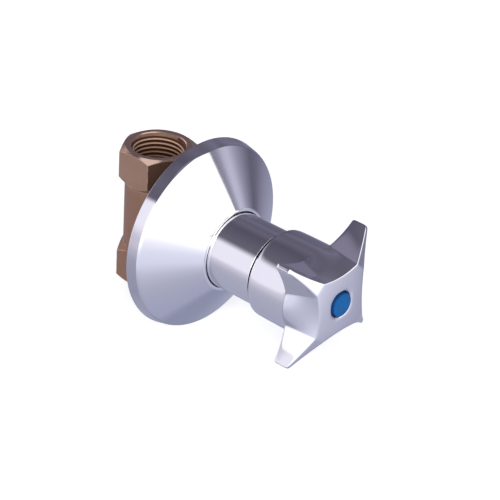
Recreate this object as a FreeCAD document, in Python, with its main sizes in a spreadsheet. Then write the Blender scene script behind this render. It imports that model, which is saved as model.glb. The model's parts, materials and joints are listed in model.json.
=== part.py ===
import FreeCAD, Part
import math
import os
import Sketcher
from FreeCAD import Placement, Rotation, Vector

# Concealed stop valve for a half-inch pipe: a cast body with two threaded ports, a screw-down
# headwork in its neck, a chromed sleeve and wall flange, and a four-armed handle.
# Every piece is drawn in one bench frame: X to the right, Y up along the pipe, and Z forward
# along the spindle, with the origin where the two axes cross. The last placement stands the
# valve up, with Z up the pipe, the handle towards -Y and the origin at the inlet's mouth.

# Driving dimensions, in millimetres and degrees
SIZES = [
    # Cast body
    ("port_reach", 28.0, "spindle axis to the face of either port"),
    ("body_hex_flats", 26.4, "across the flats of the port hexagons"),
    ("body_hex_length", 14.74, "port face to the root of the slope behind the hexagon"),
    ("tube_radius", 12.4, "outside of the tube between the hexagons"),
    ("end_chamfer_radius", 12.6, "circle where the end chamfer starts"),
    ("end_chamfer_drop", 1.5, "depth of the end chamfer at the hexagon's corners"),
    ("port_thread_radius", 10.48, "wall of the threaded ports"),
    ("port_thread_depth", 14.0, "depth of the threaded ports"),
    ("port_mouth_chamfer", 0.25, "chamfer at the ports' mouths"),
    ("neck_radius", 14.2, "outside of the neck that takes the headwork"),
    ("neck_root_radius", 12.0, "neck where it grows out of the tube"),
    ("neck_flare_front", 8.0, "place where the neck reaches its full radius"),
    ("neck_front", 18.0, "spindle length from the pipe axis to the neck's face"),
    ("neck_mouth_chamfer", 0.6, "chamfer at the neck's mouth"),
    ("neck_thread_room", 0.6, "neck thread left free behind the headwork"),
    ("chamber_radius", 9.0, "front chamber round the seat"),
    ("bridge_front", 3.8, "front of the bridge wall that carries the seat"),
    ("seat_height", 1.2, "seat ring above the bridge wall"),
    ("seat_radius", 7.5, "outside of the seat ring"),
    ("orifice_radius", 6.0, "waterway through the seat"),
    ("back_chamber_depth", 8.0, "depth of the back chamber behind the pipe axis"),
    ("way_radius", 5.0, "waterways from the ports to the chambers"),
    ("outlet_way_forward", 5.5, "outlet waterway in front of the pipe axis"),
    ("outlet_way_end", 8.0, "height where the outlet waterway meets the front chamber"),
    ("inlet_way_behind", 2.5, "inlet waterway behind the pipe axis"),
    ("inlet_way_end", 4.0, "depth where the inlet waterway meets the back chamber"),
    # Headwork
    ("thread_clearance", 0.05, "radial clearance of screwed pieces"),
    ("running_clearance", 0.05, "radial clearance of turning pieces"),
    ("slide_clearance", 0.1, "clearance of the sliding piston"),
    ("bonnet_thread_radius", 11.0, "screwed shank of the headwork"),
    ("bonnet_thread_length", 8.3, "length of the screwed shank"),
    ("bonnet_washer_radius", 13.6, "outside of the fibre washer"),
    ("bonnet_washer_thickness", 1.5, "thickness of the fibre washer"),
    ("bonnet_hex_flats", 25.0, "across the flats of the headwork's hexagon"),
    ("bonnet_hex_height", 8.5, "height of the headwork's hexagon"),
    ("bonnet_hex_chamfer_radius", 12.2, "circle where the hexagon's chamfer starts"),
    ("bonnet_hex_chamfer_drop", 1.3, "depth of that chamfer at the corners"),
    ("barrel_radius", 12.0, "barrel that the sleeve screws on"),
    ("barrel_length", 18.0, "length of the barrel"),
    ("bonnet_top_radius", 9.0, "top of the headwork, round the spindle"),
    ("bonnet_top_length", 8.5, "length of that top"),
    ("bonnet_top_chamfer", 0.8, "chamfers of barrel and top"),
    ("plate_room", 1.7, "room over the piston's plate when the valve is open"),
    ("hex_room", 0.7, "room over the piston's hexagon when the valve is open"),
    # Piston
    ("thread_lead", 2.5, "advance of the piston for one turn of the spindle"),
    ("handle_turns", 2.125, "turns of the handle from closed to open"),
    ("seat_washer_radius", 7.9, "rubber seat washer"),
    ("seat_washer_thickness", 3.5, "thickness of the seat washer"),
    ("plate_radius", 8.3, "plate that backs the seat washer"),
    ("plate_thickness", 2.0, "thickness of that plate"),
    ("piston_waist_radius", 6.4, "waist between plate and hexagon"),
    ("piston_waist_length", 5.5, "length of that waist"),
    ("piston_hex_flats", 15.4, "hexagon that keeps the piston from turning"),
    ("piston_hex_length", 6.0, "length of that hexagon"),
    ("piston_radius", 7.15, "round part of the piston"),
    ("piston_top_length", 12.0, "length of the round part"),
    ("piston_groove_radius", 5.55, "root of the piston's ring groove"),
    ("piston_groove_place", 2.3, "groove's front edge below the piston's top"),
    ("piston_groove_width", 2.2, "width of the piston's ring groove"),
    ("spindle_thread_radius", 4.5, "screwed end of the spindle"),
    ("spindle_engagement", 12.0, "spindle inside the piston when closed"),
    ("spindle_end_room", 1.7, "room at the spindle's end when the valve is open"),
    ("stud_radius", 2.0, "stud that holds the seat washer"),
    ("stud_proud", 0.4, "stud past its nut"),
    ("stud_nut_flats", 7.0, "across the flats of the stud's nut"),
    ("stud_nut_thickness", 2.4, "thickness of the stud's nut"),
    # Spindle
    ("spindle_radius", 4.95, "shank of the spindle in the headwork"),
    ("collar_radius", 7.0, "collar that takes the thrust"),
    ("collar_thickness", 2.0, "thickness of the collar"),
    ("thrust_washer_thickness", 1.0, "plastic washer over the collar"),
    ("ring_groove_radius", 3.3, "root of the spindle's two ring grooves"),
    ("ring_groove_width", 2.1, "width of each ring groove"),
    ("ring_groove_place", 1.0, "first groove in front of the thrust face"),
    ("ring_groove_spacing", 3.5, "from one ring groove to the next"),
    ("ring_squeeze", 0.03, "clearance drawn on each side of a rubber ring"),
    ("circlip_thickness", 0.8, "retaining ring on the spindle"),
    ("circlip_radius", 7.0, "outside of the retaining ring"),
    ("circlip_groove_radius", 4.1, "root of the retaining ring's groove"),
    ("circlip_gap", 4.0, "opening of the retaining ring"),
    ("axial_play", 0.1, "end play of the spindle"),
    ("spline_teeth", 20, "teeth of the spindle's spline"),
    ("spline_root_radius", 4.1, "root of the spline"),
    ("spline_tip_radius", 4.7, "tip of the spline"),
    ("spline_root_angle", 8.0, "half the angle of a tooth at its root"),
    ("spline_tip_angle", 2.5, "half the angle of a tooth at its tip"),
    ("spline_side_angle", 0.8, "angular clearance on each side of a tooth"),
    ("spline_gap", 1.0, "gap between the spindle's end and the handle's web"),
    ("screw_hole_depth", 14.0, "depth of the screw hole in the spindle"),
    # Sleeve and flange
    ("sleeve_room", 1.8, "space between the headwork's barrel and the sleeve"),
    ("sleeve_wall", 1.2, "wall of the sleeve"),
    ("sleeve_foot_gap", 2.0, "gap between the headwork's hexagon and the sleeve"),
    ("sleeve_foot_length", 10.0, "threaded foot of the sleeve"),
    ("sleeve_front", 61.6, "front end of the sleeve"),
    ("sleeve_edge", 0.3, "rounding of the sleeve's ends"),
    ("wall_plane", 22.0, "finished wall, where the flange rests"),
    ("flange_radius", 37.8, "rim of the flange at the wall"),
    ("flange_rim_draft", 1.05, "taper of the rim band"),
    ("flange_rim_depth", 5.1, "depth of the rim band"),
    ("flange_rim_blend", 0.8, "rounding between rim band and cone"),
    ("flange_front", 41.4, "front of the flange's collar"),
    ("collar_lip_width", 1.0, "width of the lip round the sleeve"),
    ("collar_gap", 0.2, "gap between lip and sleeve"),
    ("flange_wall", 1.1, "thickness of the flange"),
    ("collar_lip_depth", 1.4, "depth of the lip in front of the ring"),
    ("flange_ring_groove_width", 2.6, "width of the flange's ring groove"),
    ("flange_ring_groove_depth", 2.2, "depth of the flange's ring groove"),
    ("flange_boss_wall", 1.5, "wall of the boss round the ring groove"),
    # Handle
    ("seam_gap", 0.5, "gap between sleeve and handle"),
    ("step_inset", 0.1, "narrow step of the handle inside the sleeve's outline"),
    ("step_length", 1.1, "length of that step"),
    ("hub_overhang", 2.3, "hub of the handle outside the sleeve's outline"),
    ("hub_shoulder", 1.8, "rounding of the hub's shoulder"),
    ("hub_length", 19.0, "seam to the edge where the scoops start"),
    ("scoop_length", 12.8, "that edge to the handle's face"),
    ("star_corner_inset", 1.7, "corners of the star inside the hub's outline"),
    ("star_corner_angle", 10.0, "half the angle between the two corners of an arm"),
    ("face_rounding", 0.9, "rounding between the face and the scoops"),
    ("star_waist_inset", 5.45, "star's edge midway between two arms, inside the hub's outline"),
    ("arm_reach", 29.6, "spindle axis to the arms' tips"),
    ("arm_root_back", 6.45, "half the arm's width at its root, at the back"),
    ("arm_tip_half", 0.8, "half the arm's width at its tip"),
    ("arm_tip_depth", 6.45, "depth of the arm at its tip"),
    ("arm_tip_rounding", 1.2, "rounding of the tip's corners"),
    ("arm_tip_setback", 0.35, "tip's back edge behind the scoops' edge"),
    ("handle_angle", 48.5, "first arm of the closed valve, anticlockwise from the right"),
    ("spigot_clearance", 0.4, "clearance of the spigot in the sleeve"),
    ("spigot_length", 4.6, "length of the spigot"),
    ("guide_groove_depth", 0.65, "depth of the guide ring's groove"),
    ("guide_groove_width", 2.0, "width of the guide ring's groove"),
    ("guide_groove_place", 1.2, "groove in front of the spigot's end"),
    ("spigot_wall", 1.55, "wall between the guide ring's groove and the hollow round the boss"),
    ("cavity_depth", 21.0, "depth of that hollow"),
    ("boss_radius", 7.0, "splined boss inside the handle"),
    ("boss_lead_in", 2.0, "plain lead-in of the splined bore"),
    ("web_front_depth", 7.9, "face to the seat of the handle's screw"),
    ("web_thickness", 3.0, "web between screw and spindle"),
    ("screw_pocket_radius", 4.6, "pocket for the screw's head"),
    ("button_radius", 5.0, "coloured index button"),
    ("button_clearance", 0.05, "clearance round the button"),
    ("button_recess_depth", 2.5, "depth of the button's recess"),
    ("button_proud", 1.3, "button in front of the handle's face"),
    ("button_edge", 0.35, "rounding of the button's edge"),
    ("button_plug_radius", 4.5, "plug under the button"),
    ("button_plug_length", 1.4, "length of that plug"),
    ("screw_radius", 1.95, "shank of the handle's screw"),
    ("screw_clearance", 0.35, "radial clearance of the screw in the web"),
    ("screw_length", 16.0, "length of the screw under its head"),
    ("screw_head_radius", 3.8, "head of the screw"),
    ("screw_head_height", 2.6, "height of the screw's head"),
    ("screw_socket_flats", 3.0, "across the flats of the screw's socket"),
    ("screw_socket_depth", 1.6, "depth of that socket"),
    ("lock_washer_thickness", 0.8, "washer under the screw's head"),
]

# Dimensions that follow from the driving ones
PLACES = [
    ("hex_root", "Sizes.port_reach - Sizes.body_hex_length"),
    ("cut_radius", "Sizes.body_hex_flats"),
    ("cut_rise", "hex_root + cut_radius - Sizes.tube_radius"),
    ("end_chamfer_rise", "(cut_radius - Sizes.end_chamfer_radius) * Sizes.end_chamfer_drop"
     " / (Sizes.body_hex_flats / sqrt(3) - Sizes.end_chamfer_radius)"),
    ("end_chamfer_foot", "Sizes.port_reach - end_chamfer_rise"),
    ("port_floor", "Sizes.port_reach - Sizes.port_thread_depth"),
    ("port_mouth_radius", "Sizes.port_thread_radius + Sizes.port_mouth_chamfer"),
    ("port_mouth_foot", "Sizes.port_reach - Sizes.port_mouth_chamfer"),
    ("neck_thread_radius", "Sizes.bonnet_thread_radius + Sizes.thread_clearance"),
    ("neck_mouth_radius", "neck_thread_radius + Sizes.neck_mouth_chamfer"),
    ("neck_mouth_foot", "Sizes.neck_front - Sizes.neck_mouth_chamfer"),
    ("bonnet_shoulder", "Sizes.neck_front + Sizes.bonnet_washer_thickness"),
    ("bonnet_back", "bonnet_shoulder - Sizes.bonnet_thread_length"),
    ("neck_thread_back", "bonnet_back - Sizes.neck_thread_room"),
    ("seat_face", "Sizes.bridge_front + Sizes.seat_height"),
    ("back_chamber_floor", "0 - Sizes.back_chamber_depth"),
    ("bonnet_hex_front", "bonnet_shoulder + Sizes.bonnet_hex_height"),
    ("bonnet_hex_cut", "Sizes.bonnet_hex_flats"),
    ("bonnet_hex_foot", "bonnet_hex_front - (bonnet_hex_cut - Sizes.bonnet_hex_chamfer_radius)"
     " * Sizes.bonnet_hex_chamfer_drop"
     " / (Sizes.bonnet_hex_flats / sqrt(3) - Sizes.bonnet_hex_chamfer_radius)"),
    ("barrel_front", "bonnet_hex_front + Sizes.barrel_length"),
    ("barrel_chamfer_foot", "barrel_front - Sizes.bonnet_top_chamfer"),
    ("barrel_chamfer_radius", "Sizes.barrel_radius - Sizes.bonnet_top_chamfer"),
    ("bonnet_front", "barrel_front + Sizes.bonnet_top_length"),
    ("bonnet_chamfer_foot", "bonnet_front - Sizes.bonnet_top_chamfer"),
    ("bonnet_chamfer_radius", "Sizes.bonnet_top_radius - Sizes.bonnet_top_chamfer"),
    ("lift", "Sizes.thread_lead * Sizes.handle_turns"),
    ("plate_back", "seat_face + Sizes.seat_washer_thickness"),
    ("plate_front", "plate_back + Sizes.plate_thickness"),
    ("piston_hex_back", "plate_front + Sizes.piston_waist_length"),
    ("piston_hex_front", "piston_hex_back + Sizes.piston_hex_length"),
    ("piston_front", "piston_hex_front + Sizes.piston_top_length"),
    ("piston_groove_front", "piston_front - Sizes.piston_groove_place"),
    ("piston_groove_back", "piston_groove_front - Sizes.piston_groove_width"),
    ("guide_back", "plate_front + lift + Sizes.plate_room"),
    ("guide_front", "piston_hex_front + lift + Sizes.hex_room"),
    ("guide_flats", "Sizes.piston_hex_flats + 2 * Sizes.slide_clearance"),
    ("bonnet_bore_radius", "Sizes.piston_radius + Sizes.slide_clearance"),
    ("spindle_bore_radius", "Sizes.spindle_radius + Sizes.running_clearance"),
    ("stud_nut_back", "seat_face - Sizes.stud_nut_thickness"),
    ("stud_back", "stud_nut_back - Sizes.stud_proud"),
    ("stud_bore_radius", "Sizes.stud_radius + Sizes.thread_clearance"),
    ("spindle_back", "piston_front - Sizes.spindle_engagement"),
    ("piston_bore_floor", "spindle_back - lift - Sizes.spindle_end_room"),
    ("piston_bore_radius", "Sizes.spindle_thread_radius + Sizes.thread_clearance"),
    ("collar_front", "barrel_front - Sizes.thrust_washer_thickness"),
    ("collar_back", "collar_front - Sizes.collar_thickness"),
    ("thrust_washer_bore", "Sizes.spindle_radius + 2 * Sizes.running_clearance"),
    ("inner_groove_back", "barrel_front + Sizes.ring_groove_place"),
    ("inner_groove_front", "inner_groove_back + Sizes.ring_groove_width"),
    ("outer_groove_back", "inner_groove_back + Sizes.ring_groove_spacing"),
    ("outer_groove_front", "outer_groove_back + Sizes.ring_groove_width"),
    ("spindle_ring_radius", "(spindle_bore_radius + Sizes.ring_groove_radius) / 2"),
    ("spindle_ring_section", "(spindle_bore_radius - Sizes.ring_groove_radius) / 2 - Sizes.ring_squeeze"),
    ("inner_ring_place", "(inner_groove_back + inner_groove_front) / 2"),
    ("outer_ring_place", "(outer_groove_back + outer_groove_front) / 2"),
    ("piston_ring_radius", "(bonnet_bore_radius + Sizes.piston_groove_radius) / 2"),
    ("piston_ring_section", "(bonnet_bore_radius - Sizes.piston_groove_radius) / 2 - Sizes.ring_squeeze"),
    ("piston_ring_place", "(piston_groove_back + piston_groove_front) / 2"),
    ("circlip_back", "bonnet_front + Sizes.axial_play"),
    ("circlip_front", "circlip_back + Sizes.circlip_thickness"),
    ("circlip_groove_front", "circlip_front + Sizes.axial_play"),
    ("circlip_bore_radius", "Sizes.circlip_groove_radius + Sizes.running_clearance"),
    ("sleeve_back", "bonnet_hex_front + Sizes.sleeve_foot_gap"),
    ("sleeve_foot_front", "sleeve_back + Sizes.sleeve_foot_length"),
    ("sleeve_foot_radius", "Sizes.barrel_radius + Sizes.thread_clearance"),
    ("sleeve_bore_radius", "Sizes.barrel_radius + Sizes.sleeve_room"),
    ("sleeve_radius", "sleeve_bore_radius + Sizes.sleeve_wall"),
    ("step_radius", "sleeve_radius - Sizes.step_inset"),
    ("hub_radius", "sleeve_radius + Sizes.hub_overhang"),
    ("star_corner_radius", "hub_radius - Sizes.star_corner_inset"),
    ("star_waist_radius", "hub_radius - Sizes.star_waist_inset"),
    ("arm_root_reach", "star_corner_radius * cos(Sizes.star_corner_angle)"),
    ("arm_root_front", "star_corner_radius * sin(Sizes.star_corner_angle)"),
    ("spigot_radius", "sleeve_bore_radius - Sizes.spigot_clearance"),
    ("guide_groove_radius", "spigot_radius - Sizes.guide_groove_depth"),
    ("cavity_radius", "guide_groove_radius - Sizes.spigot_wall"),
    ("handle_back", "Sizes.sleeve_front + Sizes.seam_gap"),
    ("step_front", "handle_back + Sizes.step_length"),
    ("hub_front", "handle_back + Sizes.hub_length"),
    ("handle_face", "hub_front + Sizes.scoop_length"),
    ("spigot_back", "Sizes.sleeve_front - Sizes.spigot_length"),
    ("guide_groove_back", "spigot_back + Sizes.guide_groove_place"),
    ("guide_groove_front", "guide_groove_back + Sizes.guide_groove_width"),
    ("guide_ring_radius", "sleeve_bore_radius - Sizes.running_clearance"),
    ("guide_ring_bore", "guide_groove_radius + Sizes.running_clearance"),
    ("cavity_floor", "spigot_back + Sizes.cavity_depth"),
    ("web_front", "handle_face - Sizes.web_front_depth"),
    ("web_back", "web_front - Sizes.web_thickness"),
    ("spindle_front", "web_back - Sizes.spline_gap"),
    ("spline_back", "spigot_back + Sizes.boss_lead_in"),
    ("boss_bore_radius", "Sizes.spindle_radius + Sizes.running_clearance"),
    ("bore_root_radius", "Sizes.spline_root_radius + Sizes.running_clearance"),
    ("bore_tip_radius", "Sizes.spline_tip_radius + Sizes.running_clearance"),
    ("screw_hole_radius", "Sizes.screw_radius + Sizes.thread_clearance"),
    ("web_hole_radius", "Sizes.screw_radius + Sizes.screw_clearance"),
    ("lock_washer_front", "web_front + Sizes.lock_washer_thickness"),
    ("screw_head_front", "lock_washer_front + Sizes.screw_head_height"),
    ("screw_back", "lock_washer_front - Sizes.screw_length"),
    ("lock_washer_bore", "Sizes.screw_radius + 2 * Sizes.thread_clearance"),
    ("recess_floor", "handle_face - Sizes.button_recess_depth"),
    ("recess_radius", "Sizes.button_radius + Sizes.button_clearance"),
    ("button_front", "handle_face + Sizes.button_proud"),
    ("button_plug_back", "recess_floor - Sizes.button_plug_length"),
    ("star_half_chord", "star_corner_radius * sin(45 - Sizes.star_corner_angle)"),
    ("star_sagitta", "star_corner_radius * cos(45 - Sizes.star_corner_angle)"
     " - star_waist_radius"),
    ("star_edge_radius", "(star_half_chord * star_half_chord + star_sagitta * star_sagitta)"
     " / (2 * star_sagitta)"),
    ("hub_corner_angle", "asin(Sizes.arm_root_back / hub_radius) / 1deg"),
    ("arm_tip_back", "hub_front - Sizes.arm_tip_setback"),
    ("arm_tip_front", "arm_tip_back + Sizes.arm_tip_depth"),
    ("flange_rim_front", "Sizes.wall_plane + Sizes.flange_rim_depth"),
    ("flange_rim_radius", "Sizes.flange_radius - Sizes.flange_rim_draft"),
    ("lip_bore", "sleeve_radius + Sizes.collar_gap"),
    ("lip_radius", "lip_bore + Sizes.collar_lip_width"),
    ("cone_run", "flange_rim_radius - lip_radius"),
    ("cone_rise", "Sizes.flange_front - flange_rim_front"),
    ("cone_wall", "Sizes.flange_wall * sqrt(cone_run * cone_run + cone_rise * cone_rise) / cone_run"),
    ("flange_inner_radius", "Sizes.flange_radius - Sizes.flange_wall"),
    ("rim_inner_radius", "flange_rim_radius - Sizes.flange_wall"),
    ("rim_inner_front", "flange_rim_front - cone_wall + Sizes.flange_wall * cone_rise / cone_run"),
    ("flange_groove_front", "Sizes.flange_front - Sizes.collar_lip_depth"),
    ("flange_groove_back", "flange_groove_front - Sizes.flange_ring_groove_width"),
    ("flange_groove_radius", "lip_bore + Sizes.flange_ring_groove_depth"),
    ("boss_back", "flange_groove_back - Sizes.flange_boss_wall"),
    ("flange_boss_radius", "flange_groove_radius + Sizes.flange_boss_wall"),
    ("boss_corner", "Sizes.flange_front - cone_wall - (flange_boss_radius - lip_radius)"
     " * cone_rise / cone_run"),
    ("flange_ring_radius", "(sleeve_radius + flange_groove_radius) / 2"),
    ("flange_ring_section", "(flange_groove_radius - sleeve_radius) / 2 - Sizes.ring_squeeze"),
    ("flange_ring_place", "(flange_groove_back + flange_groove_front) / 2"),
]

doc = FreeCAD.newDocument("ConcealedStopValve")
driving = {}
derived = {}


def fill_sheet(name, rows, columns, cells):
    """Writes one row for each dimension and gives its cell an alias."""
    sheet = doc.addObject("Spreadsheet::Sheet", name)
    for number, row in enumerate(rows, start=1):
        for column, text in zip(columns, row):
            sheet.set(f"{column}{number}", text)
        sheet.setAlias(f"B{number}", row[0])
    doc.recompute()
    for row in rows:
        cells[row[0]] = float(sheet.get(row[0]))
    return sheet


fill_sheet("Sizes", [(name, str(size), note) for name, size, note in SIZES], "ABC", driving)
fill_sheet("Places", [(name, "=" + formula) for name, formula in PLACES], "AB", derived)


def size(name):
    """The present value of a cell."""
    return driving[name] if name in driving else derived[name]


def cell(name):
    """The expression that reads a cell."""
    return f"Sizes.{name}" if name in driving else f"Places.{name}"


# Sketch helpers


def new_body(label):
    """A body whose label is the name of the piece."""
    body = doc.addObject("PartDesign::Body", label)
    body.Label = label
    return body


def base_plane(body, role):
    """One of the body's own origin planes or axes."""
    for feature in body.Origin.OriginFeatures:
        if feature.Role == role:
            return feature
    raise ValueError(f"{body.Label} has no {role}")


def new_sketch(body, name, role, offset=None):
    """A sketch on one of the body's origin planes, moved along its normal by a cell."""
    sketch = body.newObject("Sketcher::SketchObject", f"{body.Label}_{name}")
    sketch.AttachmentSupport = [(base_plane(body, role), "")]
    sketch.MapMode = "FlatFace"
    if offset:
        sketch.setExpression("AttachmentOffset.Base.z", cell(offset))
    return sketch


def place_point(sketch, edge, position, x, y):
    """Ties one end of an edge to two coordinates, each a cell, zero or (value, expression)."""
    for axis, coordinate in (("DistanceX", x), ("DistanceY", y)):
        value, expression = read_coordinate(coordinate)
        index = sketch.addConstraint(Sketcher.Constraint(axis, -1, 1, edge, position, value))
        if expression:
            sketch.setExpression(f"Constraints[{index}]", expression)


def read_coordinate(coordinate):
    """The value and the expression of a coordinate."""
    if coordinate == 0:
        return 0.0, None
    if isinstance(coordinate, tuple):
        return coordinate
    return size(coordinate), cell(coordinate)


def draw_outline(sketch, corners, arcs=()):
    """A closed outline through the corners; arcs gives {side: (radius cell, centre)}."""
    arcs = dict(arcs)
    spots = [Vector(read_coordinate(x)[0], read_coordinate(y)[0], 0) for x, y in corners]
    count = len(spots)
    first = sketch.GeometryCount
    for side, start in enumerate(spots):
        end = spots[(side + 1) % count]
        if side in arcs:
            sketch.addGeometry(arc_between(start, end, size(arcs[side][0]), arcs[side][1]), False)
        else:
            sketch.addGeometry(Part.LineSegment(start, end), False)
    ends = [arc_ends(sketch, first + side, spots[side]) for side in range(count)]
    for side in range(count):
        after = (side + 1) % count
        sketch.addConstraint(Sketcher.Constraint(
            "Coincident", first + side, ends[side][1], first + after, ends[after][0]))
    for side, (x, y) in enumerate(corners):
        place_point(sketch, first + side, ends[side][0], x, y)
    for side, (radius, _) in arcs.items():
        index = sketch.addConstraint(Sketcher.Constraint("Radius", first + side, size(radius)))
        sketch.setExpression(f"Constraints[{index}]", cell(radius))
    return sketch


def arc_between(start, end, radius, bulge):
    """An arc from start to end; a bulge of 1 bends away from the sketch's origin, -1 towards it."""
    middle = (start + end) / 2
    reach = math.sqrt(radius ** 2 - (end - start).Length ** 2 / 4)
    outward = Vector(end.y - start.y, start.x - end.x, 0).normalize()
    if outward.dot(middle) < 0:
        outward = outward * -1
    centre = middle - outward * reach * bulge
    return Part.Arc(start, centre + outward * radius * bulge, end)


def arc_ends(sketch, edge, start):
    """The numbers of an edge's first and last point, in the direction of drawing."""
    near = (sketch.getPoint(edge, 1) - start).Length < (sketch.getPoint(edge, 2) - start).Length
    return (1, 2) if near else (2, 1)


def draw_circle(sketch, radius, x=0, y=0):
    """A circle whose radius and centre are cells."""
    centre = Vector(read_coordinate(x)[0], read_coordinate(y)[0], 0)
    edge = sketch.addGeometry(Part.Circle(centre, Vector(0, 0, 1), size(radius)), False)
    place_point(sketch, edge, 3, x, y)
    index = sketch.addConstraint(Sketcher.Constraint("Radius", edge, size(radius)))
    sketch.setExpression(f"Constraints[{index}]", cell(radius))
    return sketch


def polar(radius, angle_text, angle):
    """The corner at a radius and an angle, the angle as an expression and as its value."""
    x = size(radius) * math.cos(math.radians(angle))
    y = size(radius) * math.sin(math.radians(angle))
    return (x, f"{cell(radius)} * cos({angle_text})"), (y, f"{cell(radius)} * sin({angle_text})")


def negative(name):
    """The coordinate on the other side of the origin."""
    return -size(name), f"-{cell(name)}"


def draw_hexagon(sketch, flats, turn=0):
    """A hexagon by its width across the flats, with a corner at the angle turn."""
    corners = []
    for number in range(6):
        angle = turn + 60 * number
        x = size(flats) / math.sqrt(3) * math.cos(math.radians(angle))
        y = size(flats) / math.sqrt(3) * math.sin(math.radians(angle))
        corners.append(((x, f"{cell(flats)} / sqrt(3) * cos({angle})"),
                        (y, f"{cell(flats)} / sqrt(3) * sin({angle})")))
    return draw_outline(sketch, corners)


# Feature helpers


def turn_profile(body, name, corners, kind="Revolution", role="XZ_Plane", arcs=()):
    """Turns an outline of (radius, length) corners about the sketch's upright axis."""
    sketch = draw_outline(new_sketch(body, name + "_outline", role), corners, arcs)
    feature = body.newObject(f"PartDesign::{kind}", f"{body.Label}_{name}")
    feature.Profile = sketch
    feature.ReferenceAxis = (sketch, ["V_Axis"])
    feature.Angle = 360
    sketch.Visibility = False
    return feature


def extrude(body, name, sketch, length):
    """Pads a sketch along its normal by an expression."""
    pad = body.newObject("PartDesign::Pad", f"{body.Label}_{name}")
    pad.Profile = sketch
    pad.setExpression("Length", length)
    sketch.Visibility = False
    return pad


def cut(body, name, sketch, length):
    """Pockets a sketch against its normal by an expression, and proves that it cuts."""
    doc.recompute()
    before = body.Shape.Volume
    pocket = body.newObject("PartDesign::Pocket", f"{body.Label}_{name}")
    pocket.Profile = sketch
    pocket.setExpression("Length", length)
    sketch.Visibility = False
    doc.recompute()
    if not body.Shape.Volume < before:
        raise ValueError(f"{pocket.Label} cuts nothing")
    return pocket


def repeat_round(body, name, originals, count):
    """Repeats features about the spindle axis."""
    pattern = body.newObject("PartDesign::PolarPattern", f"{body.Label}_{name}")
    pattern.Originals = originals
    pattern.Axis = (base_plane(body, "Z_Axis"), [""])
    pattern.Angle = 360
    if isinstance(count, str):
        pattern.setExpression("Occurrences", cell(count))
    else:
        pattern.Occurrences = count
    body.Tip = pattern
    return pattern


def circle_edges(shape, radius, height=None):
    """The names of the edges that lie on a circle about the spindle axis."""
    names = []
    for number, edge in enumerate(shape.Edges, start=1):
        curve = edge.Curve
        if not isinstance(curve, Part.Circle) or abs(curve.Radius - radius) > 1e-4:
            continue
        if height is None or abs(curve.Center.z - height) < 1e-4:
            names.append(f"Edge{number}")
    return names


def round_edges(body, name, edges, radius):
    """Rounds the named edges of the body's present tip."""
    doc.recompute()
    fillet = body.newObject("PartDesign::Fillet", f"{body.Label}_{name}")
    fillet.Base = (body.Tip if body.Tip != fillet else fillet.BaseFeature, edges)
    fillet.setExpression("Radius", cell(radius))
    body.Tip = fillet
    return fillet


def rubber_ring(label, radius, section, place):
    """A ring of round section about the spindle axis."""
    body = new_body(label)
    sketch = draw_circle(new_sketch(body, "section", "XZ_Plane"), section, radius, place)
    ring = body.newObject("PartDesign::Revolution", f"{label}_ring")
    ring.Profile = sketch
    ring.ReferenceAxis = (sketch, ["V_Axis"])
    ring.Angle = 360
    sketch.Visibility = False
    return body


# Cast body


def make_valve_body():
    """Cast brass body: tube, two hexagonal ports, neck, and the seat inside."""
    body = new_body("valve_body")
    turn_profile(body, "tube", [
        (0, negative("port_reach")), ("tube_radius", negative("port_reach")),
        ("tube_radius", "port_reach"), (0, "port_reach")], role="XY_Plane")
    hexagon = draw_hexagon(new_sketch(body, "hexagon", "XZ_Plane", "hex_root"), "body_hex_flats", 90)
    port = extrude(body, "port_hexagon", hexagon, cell("body_hex_length"))
    slope = turn_profile(body, "hexagon_slope", [
        ("tube_radius", negative("hex_root")), ("cut_radius", negative("hex_root")),
        ("cut_radius", negative("cut_rise"))], "Groove", "XY_Plane")
    chamfer = turn_profile(body, "end_chamfer", [
        ("end_chamfer_radius", negative("port_reach")), ("cut_radius", negative("port_reach")),
        ("cut_radius", negative("end_chamfer_foot"))], "Groove", "XY_Plane")
    mirror = body.newObject("PartDesign::Mirrored", "valve_body_upper_port")
    mirror.Originals = [port, slope, chamfer]
    mirror.MirrorPlane = (base_plane(body, "XZ_Plane"), [""])
    body.Tip = mirror
    turn_profile(body, "neck", [
        (0, 0), ("neck_root_radius", 0), ("neck_radius", "neck_flare_front"),
        ("neck_radius", "neck_front"), (0, "neck_front")])
    turn_profile(body, "neck_bore", [
        (0, "bridge_front"), ("chamber_radius", "bridge_front"),
        ("chamber_radius", "neck_thread_back"), ("neck_thread_radius", "neck_thread_back"),
        ("neck_thread_radius", "neck_mouth_foot"), ("neck_mouth_radius", "neck_front"),
        (0, "neck_front")], "Groove")
    turn_profile(body, "seat_ring", [
        (0, 0), ("seat_radius", 0), ("seat_radius", "seat_face"), (0, "seat_face")])
    turn_profile(body, "back_chamber", [
        (0, "back_chamber_floor"), ("orifice_radius", "back_chamber_floor"),
        ("orifice_radius", "seat_face"), (0, "seat_face")], "Groove")
    for name, side in (("inlet", -1), ("outlet", 1)):
        levels = [(side * size(key), ("-" if side < 0 else "") + cell(key))
                  for key in ("port_floor", "port_mouth_foot", "port_reach")]
        turn_profile(body, name + "_port", [
            (0, levels[0]), ("port_thread_radius", levels[0]), ("port_thread_radius", levels[1]),
            ("port_mouth_radius", levels[2]), (0, levels[2])], "Groove", "XY_Plane")
    inlet = draw_circle(new_sketch(body, "inlet_way_outline", "XZ_Plane", "inlet_way_end"),
                        "way_radius", 0, negative("inlet_way_behind"))
    cut_way(body, "inlet_way", inlet, f"{cell('port_floor')} - {cell('inlet_way_end')}", True)
    outlet = draw_circle(new_sketch(body, "outlet_way_outline", "XZ_Plane"),
                         "way_radius", 0, "outlet_way_forward")
    outlet.setExpression("AttachmentOffset.Base.z", f"-{cell('outlet_way_end')}")
    cut_way(body, "outlet_way", outlet, f"{cell('port_floor')} - {cell('outlet_way_end')}", False)
    return body


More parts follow.
